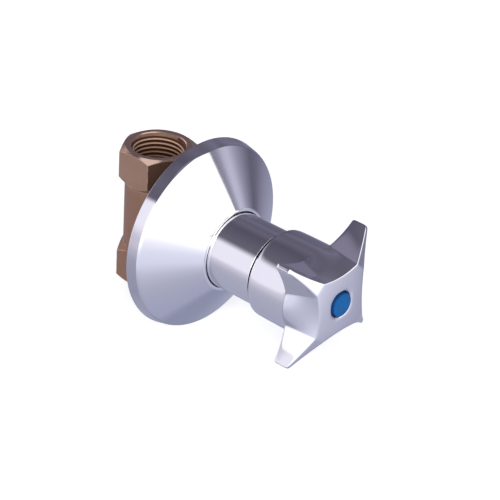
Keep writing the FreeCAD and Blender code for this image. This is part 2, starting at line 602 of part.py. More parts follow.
def cut_way(body, name, sketch, length, downwards):
    """A waterway from a chamber into a port, and a proof that it cuts."""
    doc.recompute()
    before = body.Shape.Volume
    pocket = body.newObject("PartDesign::Pocket", f"{body.Label}_{name}")
    pocket.Profile = sketch
    pocket.setExpression("Length", length)
    pocket.Reversed = downwards
    sketch.Visibility = False
    doc.recompute()
    if not body.Shape.Volume < before:
        raise ValueError(f"{pocket.Label} cuts nothing")


# Headwork


def make_bonnet_washer():
    """Fibre washer between the neck and the headwork."""
    body = new_body("bonnet_washer")
    turn_profile(body, "ring", [
        ("neck_thread_radius", "neck_front"), ("bonnet_washer_radius", "neck_front"),
        ("bonnet_washer_radius", "bonnet_shoulder"), ("neck_thread_radius", "bonnet_shoulder")])
    return body


def make_bonnet():
    """Headwork turned from hexagonal bar, with the piston's guide and the spindle's bore."""
    body = new_body("bonnet")
    hexagon = draw_hexagon(new_sketch(body, "hexagon", "XY_Plane", "bonnet_shoulder"),
                           "bonnet_hex_flats")
    extrude(body, "wrench_hexagon", hexagon, cell("bonnet_hex_height"))
    turn_profile(body, "hexagon_chamfer", [
        ("bonnet_hex_chamfer_radius", "bonnet_hex_front"), ("bonnet_hex_cut", "bonnet_hex_front"),
        ("bonnet_hex_cut", "bonnet_hex_foot")], "Groove")
    turn_profile(body, "turned_part", [
        (0, "bonnet_back"), ("bonnet_thread_radius", "bonnet_back"),
        ("bonnet_thread_radius", "bonnet_shoulder"), ("barrel_radius", "bonnet_shoulder"),
        ("barrel_radius", "barrel_chamfer_foot"), ("barrel_chamfer_radius", "barrel_front"),
        ("bonnet_top_radius", "barrel_front"), ("bonnet_top_radius", "bonnet_chamfer_foot"),
        ("bonnet_chamfer_radius", "bonnet_front"), (0, "bonnet_front")])
    turn_profile(body, "bores", [
        (0, "bonnet_back"), ("chamber_radius", "bonnet_back"), ("chamber_radius", "guide_back"),
        ("bonnet_bore_radius", "guide_back"), ("bonnet_bore_radius", "barrel_front"),
        ("spindle_bore_radius", "barrel_front"), ("spindle_bore_radius", "bonnet_front"),
        (0, "bonnet_front")], "Groove")
    guide = draw_hexagon(new_sketch(body, "guide_outline", "XY_Plane", "guide_front"), "guide_flats")
    cut(body, "piston_guide", guide, f"{cell('guide_front')} - {cell('guide_back')}")
    return body


def make_thrust_washer():
    """Plastic washer that takes the spindle's thrust."""
    body = new_body("thrust_washer")
    turn_profile(body, "ring", [
        ("thrust_washer_bore", "collar_front"), ("collar_radius", "collar_front"),
        ("collar_radius", "barrel_front"), ("thrust_washer_bore", "barrel_front")])
    return body


# Piston


def make_piston():
    """Sliding piston: plate, waist, guide hexagon, ring groove, threaded bore and stud."""
    body = new_body("valve_piston")
    hexagon = draw_hexagon(new_sketch(body, "hexagon", "XY_Plane", "piston_hex_back"),
                           "piston_hex_flats")
    extrude(body, "guide_hexagon", hexagon, cell("piston_hex_length"))
    turn_profile(body, "turned_part", [
        (0, "stud_back"), ("stud_radius", "stud_back"), ("stud_radius", "plate_back"),
        ("plate_radius", "plate_back"), ("plate_radius", "plate_front"),
        ("piston_waist_radius", "plate_front"), ("piston_waist_radius", "piston_hex_front"),
        ("piston_radius", "piston_hex_front"), ("piston_radius", "piston_groove_back"),
        ("piston_groove_radius", "piston_groove_back"),
        ("piston_groove_radius", "piston_groove_front"),
        ("piston_radius", "piston_groove_front"), ("piston_radius", "piston_front"),
        (0, "piston_front")])
    turn_profile(body, "threaded_bore", [
        (0, "piston_bore_floor"), ("piston_bore_radius", "piston_bore_floor"),
        ("piston_bore_radius", "piston_front"), (0, "piston_front")], "Groove")
    return body


def make_seat_washer():
    """Rubber washer that closes on the seat."""
    body = new_body("seat_washer")
    turn_profile(body, "ring", [
        ("stud_bore_radius", "seat_face"), ("seat_washer_radius", "seat_face"),
        ("seat_washer_radius", "plate_back"), ("stud_bore_radius", "plate_back")])
    return body


def make_washer_nut():
    """Nut that holds the seat washer on its stud."""
    body = new_body("seat_washer_nut")
    hexagon = draw_hexagon(new_sketch(body, "hexagon", "XY_Plane", "stud_nut_back"), "stud_nut_flats")
    extrude(body, "nut", hexagon, cell("stud_nut_thickness"))
    bore = draw_circle(new_sketch(body, "bore", "XY_Plane", "seat_face"), "stud_bore_radius")
    cut(body, "threaded_hole", bore, cell("stud_nut_thickness"))
    return body


# Spindle


def make_spindle():
    """Spindle: threaded end, thrust collar, two ring grooves, clip groove, spline, screw hole."""
    body = new_body("spindle")
    turn_profile(body, "turned_part", [
        (0, "spindle_back"), ("spindle_thread_radius", "spindle_back"),
        ("spindle_thread_radius", "collar_back"), ("collar_radius", "collar_back"),
        ("collar_radius", "collar_front"), ("spindle_radius", "collar_front"),
        ("spindle_radius", "inner_groove_back"), ("ring_groove_radius", "inner_groove_back"),
        ("ring_groove_radius", "inner_groove_front"), ("spindle_radius", "inner_groove_front"),
        ("spindle_radius", "outer_groove_back"), ("ring_groove_radius", "outer_groove_back"),
        ("ring_groove_radius", "outer_groove_front"), ("spindle_radius", "outer_groove_front"),
        ("spindle_radius", "circlip_back"), ("circlip_groove_radius", "circlip_back"),
        ("circlip_groove_radius", "circlip_groove_front"),
        ("spindle_radius", "circlip_groove_front"), ("spindle_radius", "spline_back"),
        ("spline_root_radius", "spline_back"), ("spline_root_radius", "spindle_front"),
        (0, "spindle_front")])
    tooth = new_sketch(body, "tooth_outline", "XY_Plane", "spline_back")
    draw_outline(tooth, tooth_corners("spline_root_radius", "spline_tip_radius", ""))
    pad = extrude(body, "tooth", tooth, f"{cell('spindle_front')} - {cell('spline_back')}")
    repeat_round(body, "spline", [pad], "spline_teeth")
    hole = draw_circle(new_sketch(body, "hole_outline", "XY_Plane", "spindle_front"),
                       "screw_hole_radius")
    cut(body, "screw_hole", hole, cell("screw_hole_depth"))
    return body


def tooth_corners(root, tip, wider):
    """The corners of one spline tooth, wider by the side clearance in the handle's bore."""
    extra = size("spline_side_angle") if wider else 0.0
    more = f" + {cell('spline_side_angle')}" if wider else ""
    root_angle = size("spline_root_angle") + extra
    tip_angle = size("spline_tip_angle") + extra
    root_text = f"{cell('spline_root_angle')}{more}"
    tip_text = f"{cell('spline_tip_angle')}{more}"
    return [
        (0, 0), polar(root, f"-({root_text})", -root_angle), polar(tip, f"-({tip_text})", -tip_angle),
        polar(tip, tip_text, tip_angle), polar(root, root_text, root_angle)]


def make_circlip():
    """Open spring ring that holds the spindle in the headwork."""
    body = new_body("spindle_circlip")
    turn_profile(body, "ring", [
        ("circlip_bore_radius", "circlip_back"), ("circlip_radius", "circlip_back"),
        ("circlip_radius", "circlip_front"), ("circlip_bore_radius", "circlip_front")])
    opening = new_sketch(body, "opening", "XY_Plane", "circlip_front")
    half = (size("circlip_gap") / 2, f"{cell('circlip_gap')} / 2")
    other = (-size("circlip_gap") / 2, f"-{cell('circlip_gap')} / 2")
    draw_outline(opening, [(0, other), ("circlip_radius", other), ("circlip_radius", half), (0, half)])
    cut(body, "gap", opening, cell("circlip_thickness"))
    return body


# Sleeve and flange


def make_sleeve():
    """Chromed tube that screws on the headwork's barrel and hides it."""
    body = new_body("sleeve")
    turn_profile(body, "tube", [
        ("sleeve_foot_radius", "sleeve_back"), ("sleeve_radius", "sleeve_back"),
        ("sleeve_radius", "sleeve_front"), ("sleeve_bore_radius", "sleeve_front"),
        ("sleeve_bore_radius", "sleeve_foot_front"), ("sleeve_foot_radius", "sleeve_foot_front")])
    doc.recompute()
    round_edges(body, "ends", circle_edges(body.Shape, size("sleeve_radius")), "sleeve_edge")
    return body


def make_flange():
    """Wall flange: rim band, straight cone, and a collar with a groove for its ring."""
    body = new_body("wall_flange")
    turn_profile(body, "shell", [
        ("flange_radius", "wall_plane"), ("flange_rim_radius", "flange_rim_front"),
        ("lip_radius", "flange_front"), ("lip_bore", "flange_front"),
        ("lip_bore", "flange_groove_front"), ("flange_groove_radius", "flange_groove_front"),
        ("flange_groove_radius", "flange_groove_back"), ("lip_bore", "flange_groove_back"),
        ("lip_bore", "boss_back"), ("flange_boss_radius", "boss_back"),
        ("flange_boss_radius", "boss_corner"), ("rim_inner_radius", "rim_inner_front"),
        ("flange_inner_radius", "wall_plane")])
    doc.recompute()
    edges = circle_edges(body.Shape, size("flange_rim_radius"), size("flange_rim_front"))
    round_edges(body, "rim_edge", edges, "flange_rim_blend")
    return body


# Handle


def make_handle():
    """Handle cast in one piece: spigot, hub, four arms, and scoops that leave a star in front."""
    body = new_body("handle")
    turn_profile(body, "hub", [
        (0, "spigot_back"), ("spigot_radius", "spigot_back"),
        ("spigot_radius", "guide_groove_back"), ("guide_groove_radius", "guide_groove_back"),
        ("guide_groove_radius", "guide_groove_front"), ("spigot_radius", "guide_groove_front"),
        ("spigot_radius", "handle_back"), ("step_radius", "handle_back"),
        ("step_radius", "step_front"), ("hub_radius", "step_front"),
        ("hub_radius", "hub_front"), (0, "hub_front")])
    doc.recompute()
    shoulder = circle_edges(body.Shape, size("hub_radius"), size("step_front"))
    round_edges(body, "shoulder", shoulder, "hub_shoulder")
    make_star(body)
    doc.recompute()
    rim = circle_edges(body.Shape, size("star_edge_radius"), size("handle_face"))
    round_edges(body, "face_rim", rim, "face_rounding")
    arm = make_arm(body)
    repeat_round(body, "arms", [arm], 4)
    doc.recompute()
    round_edges(body, "arm_tips", tip_edges(body.Shape), "arm_tip_rounding")
    turn_profile(body, "cavity", [
        ("boss_radius", "spigot_back"), ("cavity_radius", "spigot_back"),
        ("cavity_radius", "cavity_floor"), ("boss_radius", "cavity_floor")], "Groove")
    turn_profile(body, "bores", [
        (0, "spigot_back"), ("boss_bore_radius", "spigot_back"),
        ("boss_bore_radius", "spline_back"), ("bore_root_radius", "spline_back"),
        ("bore_root_radius", "web_back"), ("web_hole_radius", "web_back"),
        ("web_hole_radius", "web_front"), ("screw_pocket_radius", "web_front"),
        ("screw_pocket_radius", "recess_floor"), ("recess_radius", "recess_floor"),
        ("recess_radius", "handle_face"), (0, "handle_face")], "Groove")
    slot = new_sketch(body, "slot_outline", "XY_Plane", "web_back")
    draw_outline(slot, tooth_corners("bore_root_radius", "bore_tip_radius", "wider"))
    pocket = cut(body, "spline_slot", slot, f"{cell('web_back')} - {cell('spline_back')}")
    repeat_round(body, "spline_slots", [pocket], "spline_teeth")
    return body


def star_outline(body, name, offset, radius, angle_text, angle, side_radius, bulge, across):
    """Eight corners, two for each arm, joined across the arms and along the scoops."""
    corners = []
    arcs = {}
    for arm in range(4):
        turn = 90 * arm
        corners.append(polar(radius, f"{turn} - {angle_text}", turn - angle))
        corners.append(polar(radius, f"{turn} + {angle_text}", turn + angle))
        arcs[2 * arm + 1] = (side_radius, bulge)
        if across:
            arcs[2 * arm] = (across, 1)
    return draw_outline(new_sketch(body, name, "XY_Plane", offset), corners, arcs)


def make_star(body):
    """The scoops: a loft from the round hub to the hollow-sided star on the face."""
    back = star_outline(body, "scoop_back", "hub_front", "hub_radius", cell("hub_corner_angle"),
                        size("hub_corner_angle"), "hub_radius", 1, "hub_radius")
    front = star_outline(body, "scoop_front", "handle_face", "star_corner_radius",
                         cell("star_corner_angle"), size("star_corner_angle"),
                         "star_edge_radius", -1, None)
    loft = body.newObject("PartDesign::AdditiveLoft", "handle_scoops")
    loft.Profile = back
    loft.Sections = [front]
    loft.Ruled = True
    back.Visibility = False
    front.Visibility = False
    return loft


def make_arm(body):
    """One arm: a loft from its wide root to its narrow tip."""
    root = new_sketch(body, "arm_root", "YZ_Plane", "arm_root_reach")
    draw_outline(root, [
        (negative("arm_root_back"), "hub_front"), ("arm_root_back", "hub_front"),
        ("arm_root_front", "handle_face"), (negative("arm_root_front"), "handle_face")])
    tip = new_sketch(body, "arm_tip", "YZ_Plane", "arm_reach")
    draw_outline(tip, [
        (negative("arm_tip_half"), "arm_tip_back"), ("arm_tip_half", "arm_tip_back"),
        ("arm_tip_half", "arm_tip_front"), (negative("arm_tip_half"), "arm_tip_front")])
    loft = body.newObject("PartDesign::AdditiveLoft", "handle_arm")
    loft.Profile = root
    loft.Sections = [tip]
    loft.Ruled = True
    root.Visibility = False
    tip.Visibility = False
    return loft


def tip_edges(shape):
    """The names of the short edges across the front and back of each arm's tip."""
    width = 2 * size("arm_tip_half")
    reach = math.hypot(size("arm_reach"), size("arm_tip_half"))
    names = []
    for number, edge in enumerate(shape.Edges, start=1):
        ends = [math.hypot(vertex.Point.x, vertex.Point.y) for vertex in edge.Vertexes]
        if abs(edge.Length - width) < 1e-4 and all(abs(end - reach) < 1e-4 for end in ends):
            names.append(f"Edge{number}")
    return names


def make_guide_ring():
    """Plastic ring that centres the handle's spigot in the sleeve."""
    body = new_body("handle_guide_ring")
    turn_profile(body, "ring", [
        ("guide_ring_bore", "guide_groove_back"), ("guide_ring_radius", "guide_groove_back"),
        ("guide_ring_radius", "guide_groove_front"), ("guide_ring_bore", "guide_groove_front")])
    return body


def make_lock_washer():
    """Washer under the head of the handle's screw."""
    body = new_body("handle_screw_washer")
    turn_profile(body, "ring", [
        ("lock_washer_bore", "web_front"), ("screw_head_radius", "web_front"),
        ("screw_head_radius", "lock_washer_front"), ("lock_washer_bore", "lock_washer_front")])
    return body


def make_screw():
    """Socket screw that holds the handle on the spindle."""
    body = new_body("handle_screw")
    turn_profile(body, "turned_part", [
        (0, "screw_back"), ("screw_radius", "screw_back"), ("screw_radius", "lock_washer_front"),
        ("screw_head_radius", "lock_washer_front"), ("screw_head_radius", "screw_head_front"),
        (0, "screw_head_front")])
    socket = draw_hexagon(new_sketch(body, "socket_outline", "XY_Plane", "screw_head_front"),
                          "screw_socket_flats")
    cut(body, "socket", socket, cell("screw_socket_depth"))
    return body


def make_button():
    """Coloured button that snaps into the handle's face over the screw."""
    body = new_body("index_button")
    turn_profile(body, "cap", [
        (0, "button_plug_back"), ("button_plug_radius", "button_plug_back"),
        ("button_plug_radius", "recess_floor"), ("button_radius", "recess_floor"),
        ("button_radius", "button_front"), (0, "button_front")])
    doc.recompute()
    edges = circle_edges(body.Shape, size("button_radius"), size("button_front"))
    round_edges(body, "edge", edges, "button_edge")
    return body


# Assembly

fixed_pieces = [
    make_valve_body(), make_bonnet_washer(), make_bonnet(), make_thrust_washer(), make_sleeve(),
    make_flange(),
    rubber_ring("flange_o_ring", "flange_ring_radius", "flange_ring_section", "flange_ring_place")]
sliding_pieces = [
    make_piston(), make_seat_washer(), make_washer_nut(),
    rubber_ring("piston_o_ring", "piston_ring_radius", "piston_ring_section", "piston_ring_place")]
turning_pieces = [
    make_spindle(),
    rubber_ring("spindle_inner_o_ring", "spindle_ring_radius", "spindle_ring_section",
                "inner_ring_place"),
    rubber_ring("spindle_outer_o_ring", "spindle_ring_radius", "spindle_ring_section",
                "outer_ring_place"),
    make_circlip(), make_handle(), make_guide_ring(), make_lock_washer(), make_screw(),
    make_button()]

stand = Placement(Vector(0, 0, size("port_reach")), Rotation(Vector(1, 0, 0), 90))
handle_turn = Placement(Vector(0, 0, 0), Rotation(Vector(0, 0, 1), size("handle_angle")))
for piece in fixed_pieces + sliding_pieces:
    piece.Placement = stand
for piece in turning_pieces:
    piece.Placement = stand * handle_turn
doc.recompute()

for item in doc.Objects:
    if "Invalid" in item.State or "Error" in item.State:
        raise RuntimeError(f"{item.Label} failed: {item.State}")
pieces = fixed_pieces + sliding_pieces + turning_pieces
for piece in pieces:
    if piece.Shape.isNull() or not piece.Shape.isValid() or len(piece.Shape.Solids) != 1:
        raise RuntimeError(f"{piece.Label} is not one valid solid")

os.makedirs("parts", exist_ok=True)
for piece in pieces:
    piece.Shape.exportStep(f"parts/{piece.Label}.step")
    print(f"{piece.Label}: {piece.Shape.Volume:.0f} cubic millimetres")
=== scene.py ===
"""Studio model of a concealed stop valve: brass body, chromed sleeve, flange and cross handle."""
import json
import math

import bmesh
import bpy
from bpy.props import FloatProperty, FloatVectorProperty, IntProperty, PointerProperty
from mathutils import Matrix, Vector


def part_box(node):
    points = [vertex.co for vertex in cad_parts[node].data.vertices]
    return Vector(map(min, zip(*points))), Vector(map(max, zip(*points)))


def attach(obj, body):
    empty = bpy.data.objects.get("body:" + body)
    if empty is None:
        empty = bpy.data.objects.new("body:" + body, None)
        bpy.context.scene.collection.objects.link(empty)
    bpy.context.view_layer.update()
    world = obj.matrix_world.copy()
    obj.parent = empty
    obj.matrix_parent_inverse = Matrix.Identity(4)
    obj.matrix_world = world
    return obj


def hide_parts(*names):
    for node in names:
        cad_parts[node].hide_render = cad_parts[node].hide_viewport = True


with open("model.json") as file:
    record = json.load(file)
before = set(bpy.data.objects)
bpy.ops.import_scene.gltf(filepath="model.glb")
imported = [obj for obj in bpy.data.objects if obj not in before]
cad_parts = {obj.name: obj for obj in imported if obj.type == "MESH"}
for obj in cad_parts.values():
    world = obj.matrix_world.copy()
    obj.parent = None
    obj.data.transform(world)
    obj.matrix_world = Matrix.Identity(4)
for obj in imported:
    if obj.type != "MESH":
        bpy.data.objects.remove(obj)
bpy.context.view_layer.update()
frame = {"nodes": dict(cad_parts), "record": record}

bl_info = {
    "name": "Concealed stop valve",
    "version": (1, 0, 0),
    "blender": (4, 5, 0),
    "location": "View3D > Sidebar > Valve",
    "description": "Models and finishes a concealed stop valve round its packed solids",
    "category": "Add Mesh",
}

MM = 0.001
CLOSE = 1e-6


def node_box(name):
    """Middle, radius, back and front of a node, measured along the spindle."""
    low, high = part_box(name)
    return (low + high) / 2, (high.x - low.x) / 2, -high.y, -low.y


SLEEVE_MIDDLE, SLEEVE_RADIUS, SLEEVE_BACK, SLEEVE_FRONT = node_box("sleeve")
FLANGE_RADIUS, FLANGE_BACK, FLANGE_FRONT = node_box("wall_flange")[1:]
HANDLE_BACK, HANDLE_FACE = node_box("handle")[2:]
BUTTON_RADIUS, BUTTON_BACK = node_box("index_button")[1:3]
BODY_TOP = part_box("valve_body")[1].z
SPINDLE_CENTRE = Vector((0, 0, SLEEVE_MIDDLE.z))
FORWARD = Vector((0, -1, 0))


# Settings


def length(name, description, default):
    return FloatProperty(name=name, description=description, default=default, unit="LENGTH")


def colour(name, description, default, brightest=1):
    return FloatVectorProperty(name=name, description=description, subtype="COLOR",
                               default=default, min=0, max=brightest)


def power(name, description, default):
    return FloatProperty(name=name, description=description, default=default, min=0, unit="POWER")


def share(name, description, default):
    return FloatProperty(name=name, description=description, default=default, min=0, max=1,
                         subtype="FACTOR")


class StudioSettings(bpy.types.PropertyGroup):
    """Floor, lamps and the tent that polished metal reflects."""
    floor: colour("Floor", "Studio floor", (0.86, 0.87, 0.9))
    tent_front: colour("Tent front", "Tent in front of the valve", (1.25, 1.25, 1.25), 2)
    tent_back: colour("Tent back", "Tent behind the valve", (0.93, 0.90, 1.02), 2)
    bright_side: colour("Bright side", "Soft light from the left", (0.96, 0.96, 0.98), 2)
    dim_side: colour("Dim side", "Soft light from the right", (0.10, 0.10, 0.11), 2)
    key_power: power("Key lamp", "Power of the key lamp", 6.0)
    fill_power: power("Fill lamp", "Power of the fill lamp", 2.0)


class ChromeSettings(bpy.types.PropertyGroup):
    """Polished chrome plate."""
    plate: colour("Plate", "Colour of the chrome", (0.88, 0.88, 0.90))
    roughness: share("Roughness", "Roughness of the polish", 0.07)
    haze: share("Haze", "Unevenness of the polish", 0.05)
    # Painted shade: a near-black colour inside the sleeve and round the handle's step, for the
    # shade in the gap at the seam
    recess_shade: colour("Bare", "Unpolished metal inside sleeve and handle", (0.035, 0.03, 0.045))
    # Painted shade: the dull plate under the flange is given a dark colour for the shade behind the
    # flange
    underside_shade: colour("Underside", "Thin dull plate under the flange", (0.30, 0.28, 0.26))


class BrassSettings(bpy.types.PropertyGroup):
    """Cast brass of the body."""
    casting: colour("Casting", "Colour of the casting", (0.47, 0.30, 0.215))
    tarnish: colour("Tarnish", "Colour of tarnished places", (0.34, 0.20, 0.145))
    worn: colour("Worn edge", "Colour of bright edges", (0.80, 0.55, 0.42))
    # Painted shade: the ports' walls darken to this colour with depth, and it is laid over the body
    # low down
    bore: colour("Bore", "Colour inside the ports", (0.26, 0.11, 0.06))
    mouth: colour("Mouth", "Colour of the ports' mouths", (0.55, 0.36, 0.27))
    crest: colour("Crest", "Colour of the thread's crests", (1.0, 0.66, 0.47))
    # Painted shade: the thread's roots, its deeper turns and the body's flat behind the flange
    # darken to this colour; it also darkens random blotches
    root: colour("Root", "Colour of the thread's roots", (0.07, 0.02, 0.008))
    top: colour("Machined top", "Colour of the machined top and its chamfer", (0.76, 0.51, 0.38))
    # Painted highlight: a bright colour on one corner of the machined chamfer
    highlit: colour("Highlit corner", "Colour of the chamfer's rubbed corner", (0.86, 0.62, 0.50))
    grain: length("Grain", "Size of the casting's grain", 0.3 * MM)
    edge: length("Edge", "Width of the worn edges", 0.6 * MM)


class FlangeSettings(bpy.types.PropertyGroup):
    """Wall flange."""
    rim_draft: length("Rim draft", "Taper of the rim band", 1.05 * MM)
    rim_depth: length("Rim depth", "Depth of the rim band", 5.1 * MM)
    lip_width: length("Lip", "Width of the lip round the sleeve", 1.1 * MM)
    lip_gap: length("Lip gap", "Gap between lip and sleeve", 0.24 * MM)
    wall: length("Wall", "Thickness of the flange", 1.1 * MM)
    steps: IntProperty(name="Steps", description="Faces round the flange", default=144, min=12)


class SleeveSettings(bpy.types.PropertyGroup):
    """Chromed sleeve."""
    wall: length("Wall", "Thickness of the sleeve", 1.2 * MM)
    mouth: length("Mouth", "Width of the front end before it is chamfered", 0.3 * MM)
    foot_radius: length("Foot", "Bore of the threaded foot", 12.05 * MM)
    foot_length: length("Foot length", "Length of the threaded foot", 10.0 * MM)
    edge: length("Edge", "Rounding of the ends", 0.25 * MM)


class HandleSettings(bpy.types.PropertyGroup):
    """Cross handle with scooped sides and four tapered arms."""
    arm_angle: FloatProperty(name="Arm angle", description="First arm, from the right",
                             default=math.radians(48.5), subtype="ANGLE")
    seam: length("Seam", "Distance forward of the seam with the sleeve", 62.3 * MM)
    step_radius: length("Step", "Radius of the narrow step", 14.9 * MM)
    step_length: length("Step length", "Length of the narrow step", 0.9 * MM)
    hub_radius: length("Hub", "Radius of the hub", 17.3 * MM)
    shoulder: length("Shoulder", "Rounding of the hub's shoulder", 1.3 * MM)
    scoops: length("Scoops", "Length of the scoops", 12.8 * MM)
    star_corner: length("Star corner", "Radius of the star's corners", 15.6 * MM)
    star_waist: length("Star waist", "Radius of the star between two arms", 11.85 * MM)
    star_angle: FloatProperty(name="Star angle", description="Half the angle of an arm on the face",
                              default=math.radians(10), subtype="ANGLE")
    arm_reach: length("Arm reach", "Spindle axis to the arms' tips", 29.6 * MM)
    tip_half: length("Tip", "Half the width of an arm's tip", 0.8 * MM)
    tip_depth: length("Tip depth", "Depth of an arm's tip", 6.45 * MM)
    tip_setback: length("Tip setback", "Tip's back edge behind the scoops", 0.35 * MM)
    hollow: length("Hollow", "How far the arms' sides curve in", 0.35 * MM)
    face_drop: length("Face drop", "How much the face falls to its rim", 0.6 * MM)
    edge: length("Edge", "Widest rounding of the edges", 1.0 * MM)


class ThreadSettings(bpy.types.PropertyGroup):
    """Half-inch pipe thread in both ports."""
    pitch: length("Pitch", "Advance of one turn", 1.814 * MM)
    height: length("Height", "Height of the thread", 1.16 * MM)
    wall_radius: length("Wall", "Radius at the thread's root", 10.48 * MM)
    start: length("Start", "First turn below the mouth", 0.05 * MM)
    turns: IntProperty(name="Turns", description="Full turns of the thread", default=6, min=1)


class ButtonSettings(bpy.types.PropertyGroup):
    """Index button."""
    plastic: colour("Plastic", "Colour of the button", (0.006, 0.15, 0.47))
    # Painted shade: the button's side is given a darker copy of the plastic's colour
    side: colour("Side", "Colour of the button's side", (0.005, 0.062, 0.23))
    radius: length("Radius", "Radius of the button's cap", 4.7 * MM)
    height: length("Height", "How far the cap stands proud of the face", 0.65 * MM)
    crown: length("Crown", "Swell of the cap", 0.12 * MM)
    plug: length("Plug", "Radius of the plug under the cap", 4.3 * MM)
    edge: length("Edge", "Rounding of the button's edge", 0.25 * MM)


# Modelling helpers


def on_ray(radius, forward, angle=0.0):
    """A point at a radius from the spindle and a distance forward along it."""
    return SPINDLE_CENTRE + Vector((radius * math.cos(angle), -forward, radius * math.sin(angle)))


def start_piece(name):
    """A mesh with a single vertex at the origin, alone selected and in edit mode."""
    bpy.ops.object.select_all(action="DESELECT")
    bpy.ops.mesh.primitive_plane_add(size=MM, location=(0, 0, 0))
    piece = bpy.context.object
    piece.name = name
    piece.data.name = name
    bpy.ops.object.mode_set(mode="EDIT")
    bpy.ops.mesh.select_mode(type="VERT")
    bpy.ops.mesh.select_all(action="SELECT")
    bpy.ops.mesh.merge(type="CENTER")
    return piece


def draw_wire(points):
    """Moves the single vertex to the first point and extrudes it through the others."""
    bpy.ops.transform.translate(value=points[0])
    for here, there in zip(points, points[1:]):
        bpy.ops.mesh.extrude_region_move(TRANSFORM_OT_translate={"value": there - here})


def choose(piece, kind, test):
    """Selects only the vertices, edges or faces that pass the test, and counts them."""
    bpy.ops.mesh.select_mode(type=kind)
    bpy.ops.mesh.select_all(action="DESELECT")
    mesh = bmesh.from_edit_mesh(piece.data)
    chosen = 0
    for part in {"VERT": mesh.verts, "EDGE": mesh.edges, "FACE": mesh.faces}[kind]:
        if test(part):
            part.select_set(True)
            chosen += 1
    mesh.select_flush_mode()
    bmesh.update_edit_mesh(piece.data)
    return chosen


def near(point):
    return lambda vertex: (vertex.co - point).length < 2 * CLOSE


def round_corners(piece, corners, segments):
    """Rounds corners of the drawn wire, each given as a point and a radius."""
    for point, radius in corners:
        if choose(piece, "VERT", near(point)) != 1:
            raise RuntimeError(f"{piece.name} has no corner at {point}")
        bpy.ops.mesh.bevel(offset=radius, segments=segments, affect="VERTICES")


def spin_wire(steps):
    """Spins the drawn wire once round the spindle."""
    bpy.ops.mesh.select_mode(type="VERT")
    bpy.ops.mesh.select_all(action="SELECT")
    bpy.ops.mesh.spin(steps=steps, angle=math.tau, center=SPINDLE_CENTRE, axis=FORWARD)
    bpy.ops.mesh.select_all(action="SELECT")
    bpy.ops.mesh.remove_doubles(threshold=CLOSE)


def leave_mesh():
    """Turns the normals outwards and leaves edit mode."""
    bpy.ops.mesh.select_all(action="SELECT")
    bpy.ops.mesh.normals_make_consistent(inside=False)
    bpy.ops.object.mode_set(mode="OBJECT")


def apply_modifier(piece, kind, **values):
    bpy.ops.object.modifier_add(type=kind)
    modifier = piece.modifiers[-1]
    for key, value in values.items():
        setattr(modifier, key, value)
    bpy.ops.object.modifier_apply(modifier=modifier.name)


def turned_piece(name, points, corners, steps, closed=True):
    """A profile of (radius, forward) points, rounded at some corners and spun round the spindle."""
    piece = start_piece(name)
    places = [on_ray(*point) for point in points]
    draw_wire(places)
    if closed:
        choose(piece, "VERT", lambda v: near(places[0])(v) or near(places[-1])(v))
        bpy.ops.mesh.edge_face_add()
    round_corners(piece, [(places[index], radius) for index, radius in corners.items()], 4)
    spin_wire(steps)
    leave_mesh()
    bpy.ops.object.shade_smooth_by_angle(angle=math.radians(40))
    apply_modifier(piece, "WEIGHTED_NORMAL", keep_sharp=True)
    return piece


GROUPS = {}
MATERIALS = {}


def paint(thing, material):
    thing.data.materials.clear()
    thing.data.materials.append(material)


def deliver(piece, body, slot, *nodes, finish=None):
    """Gives the piece its material and body, and hides the nodes that it stands for."""
    paint(piece, MATERIALS[finish or slot])
    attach(piece, body)
    if nodes:
        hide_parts(*nodes)


# Material helpers


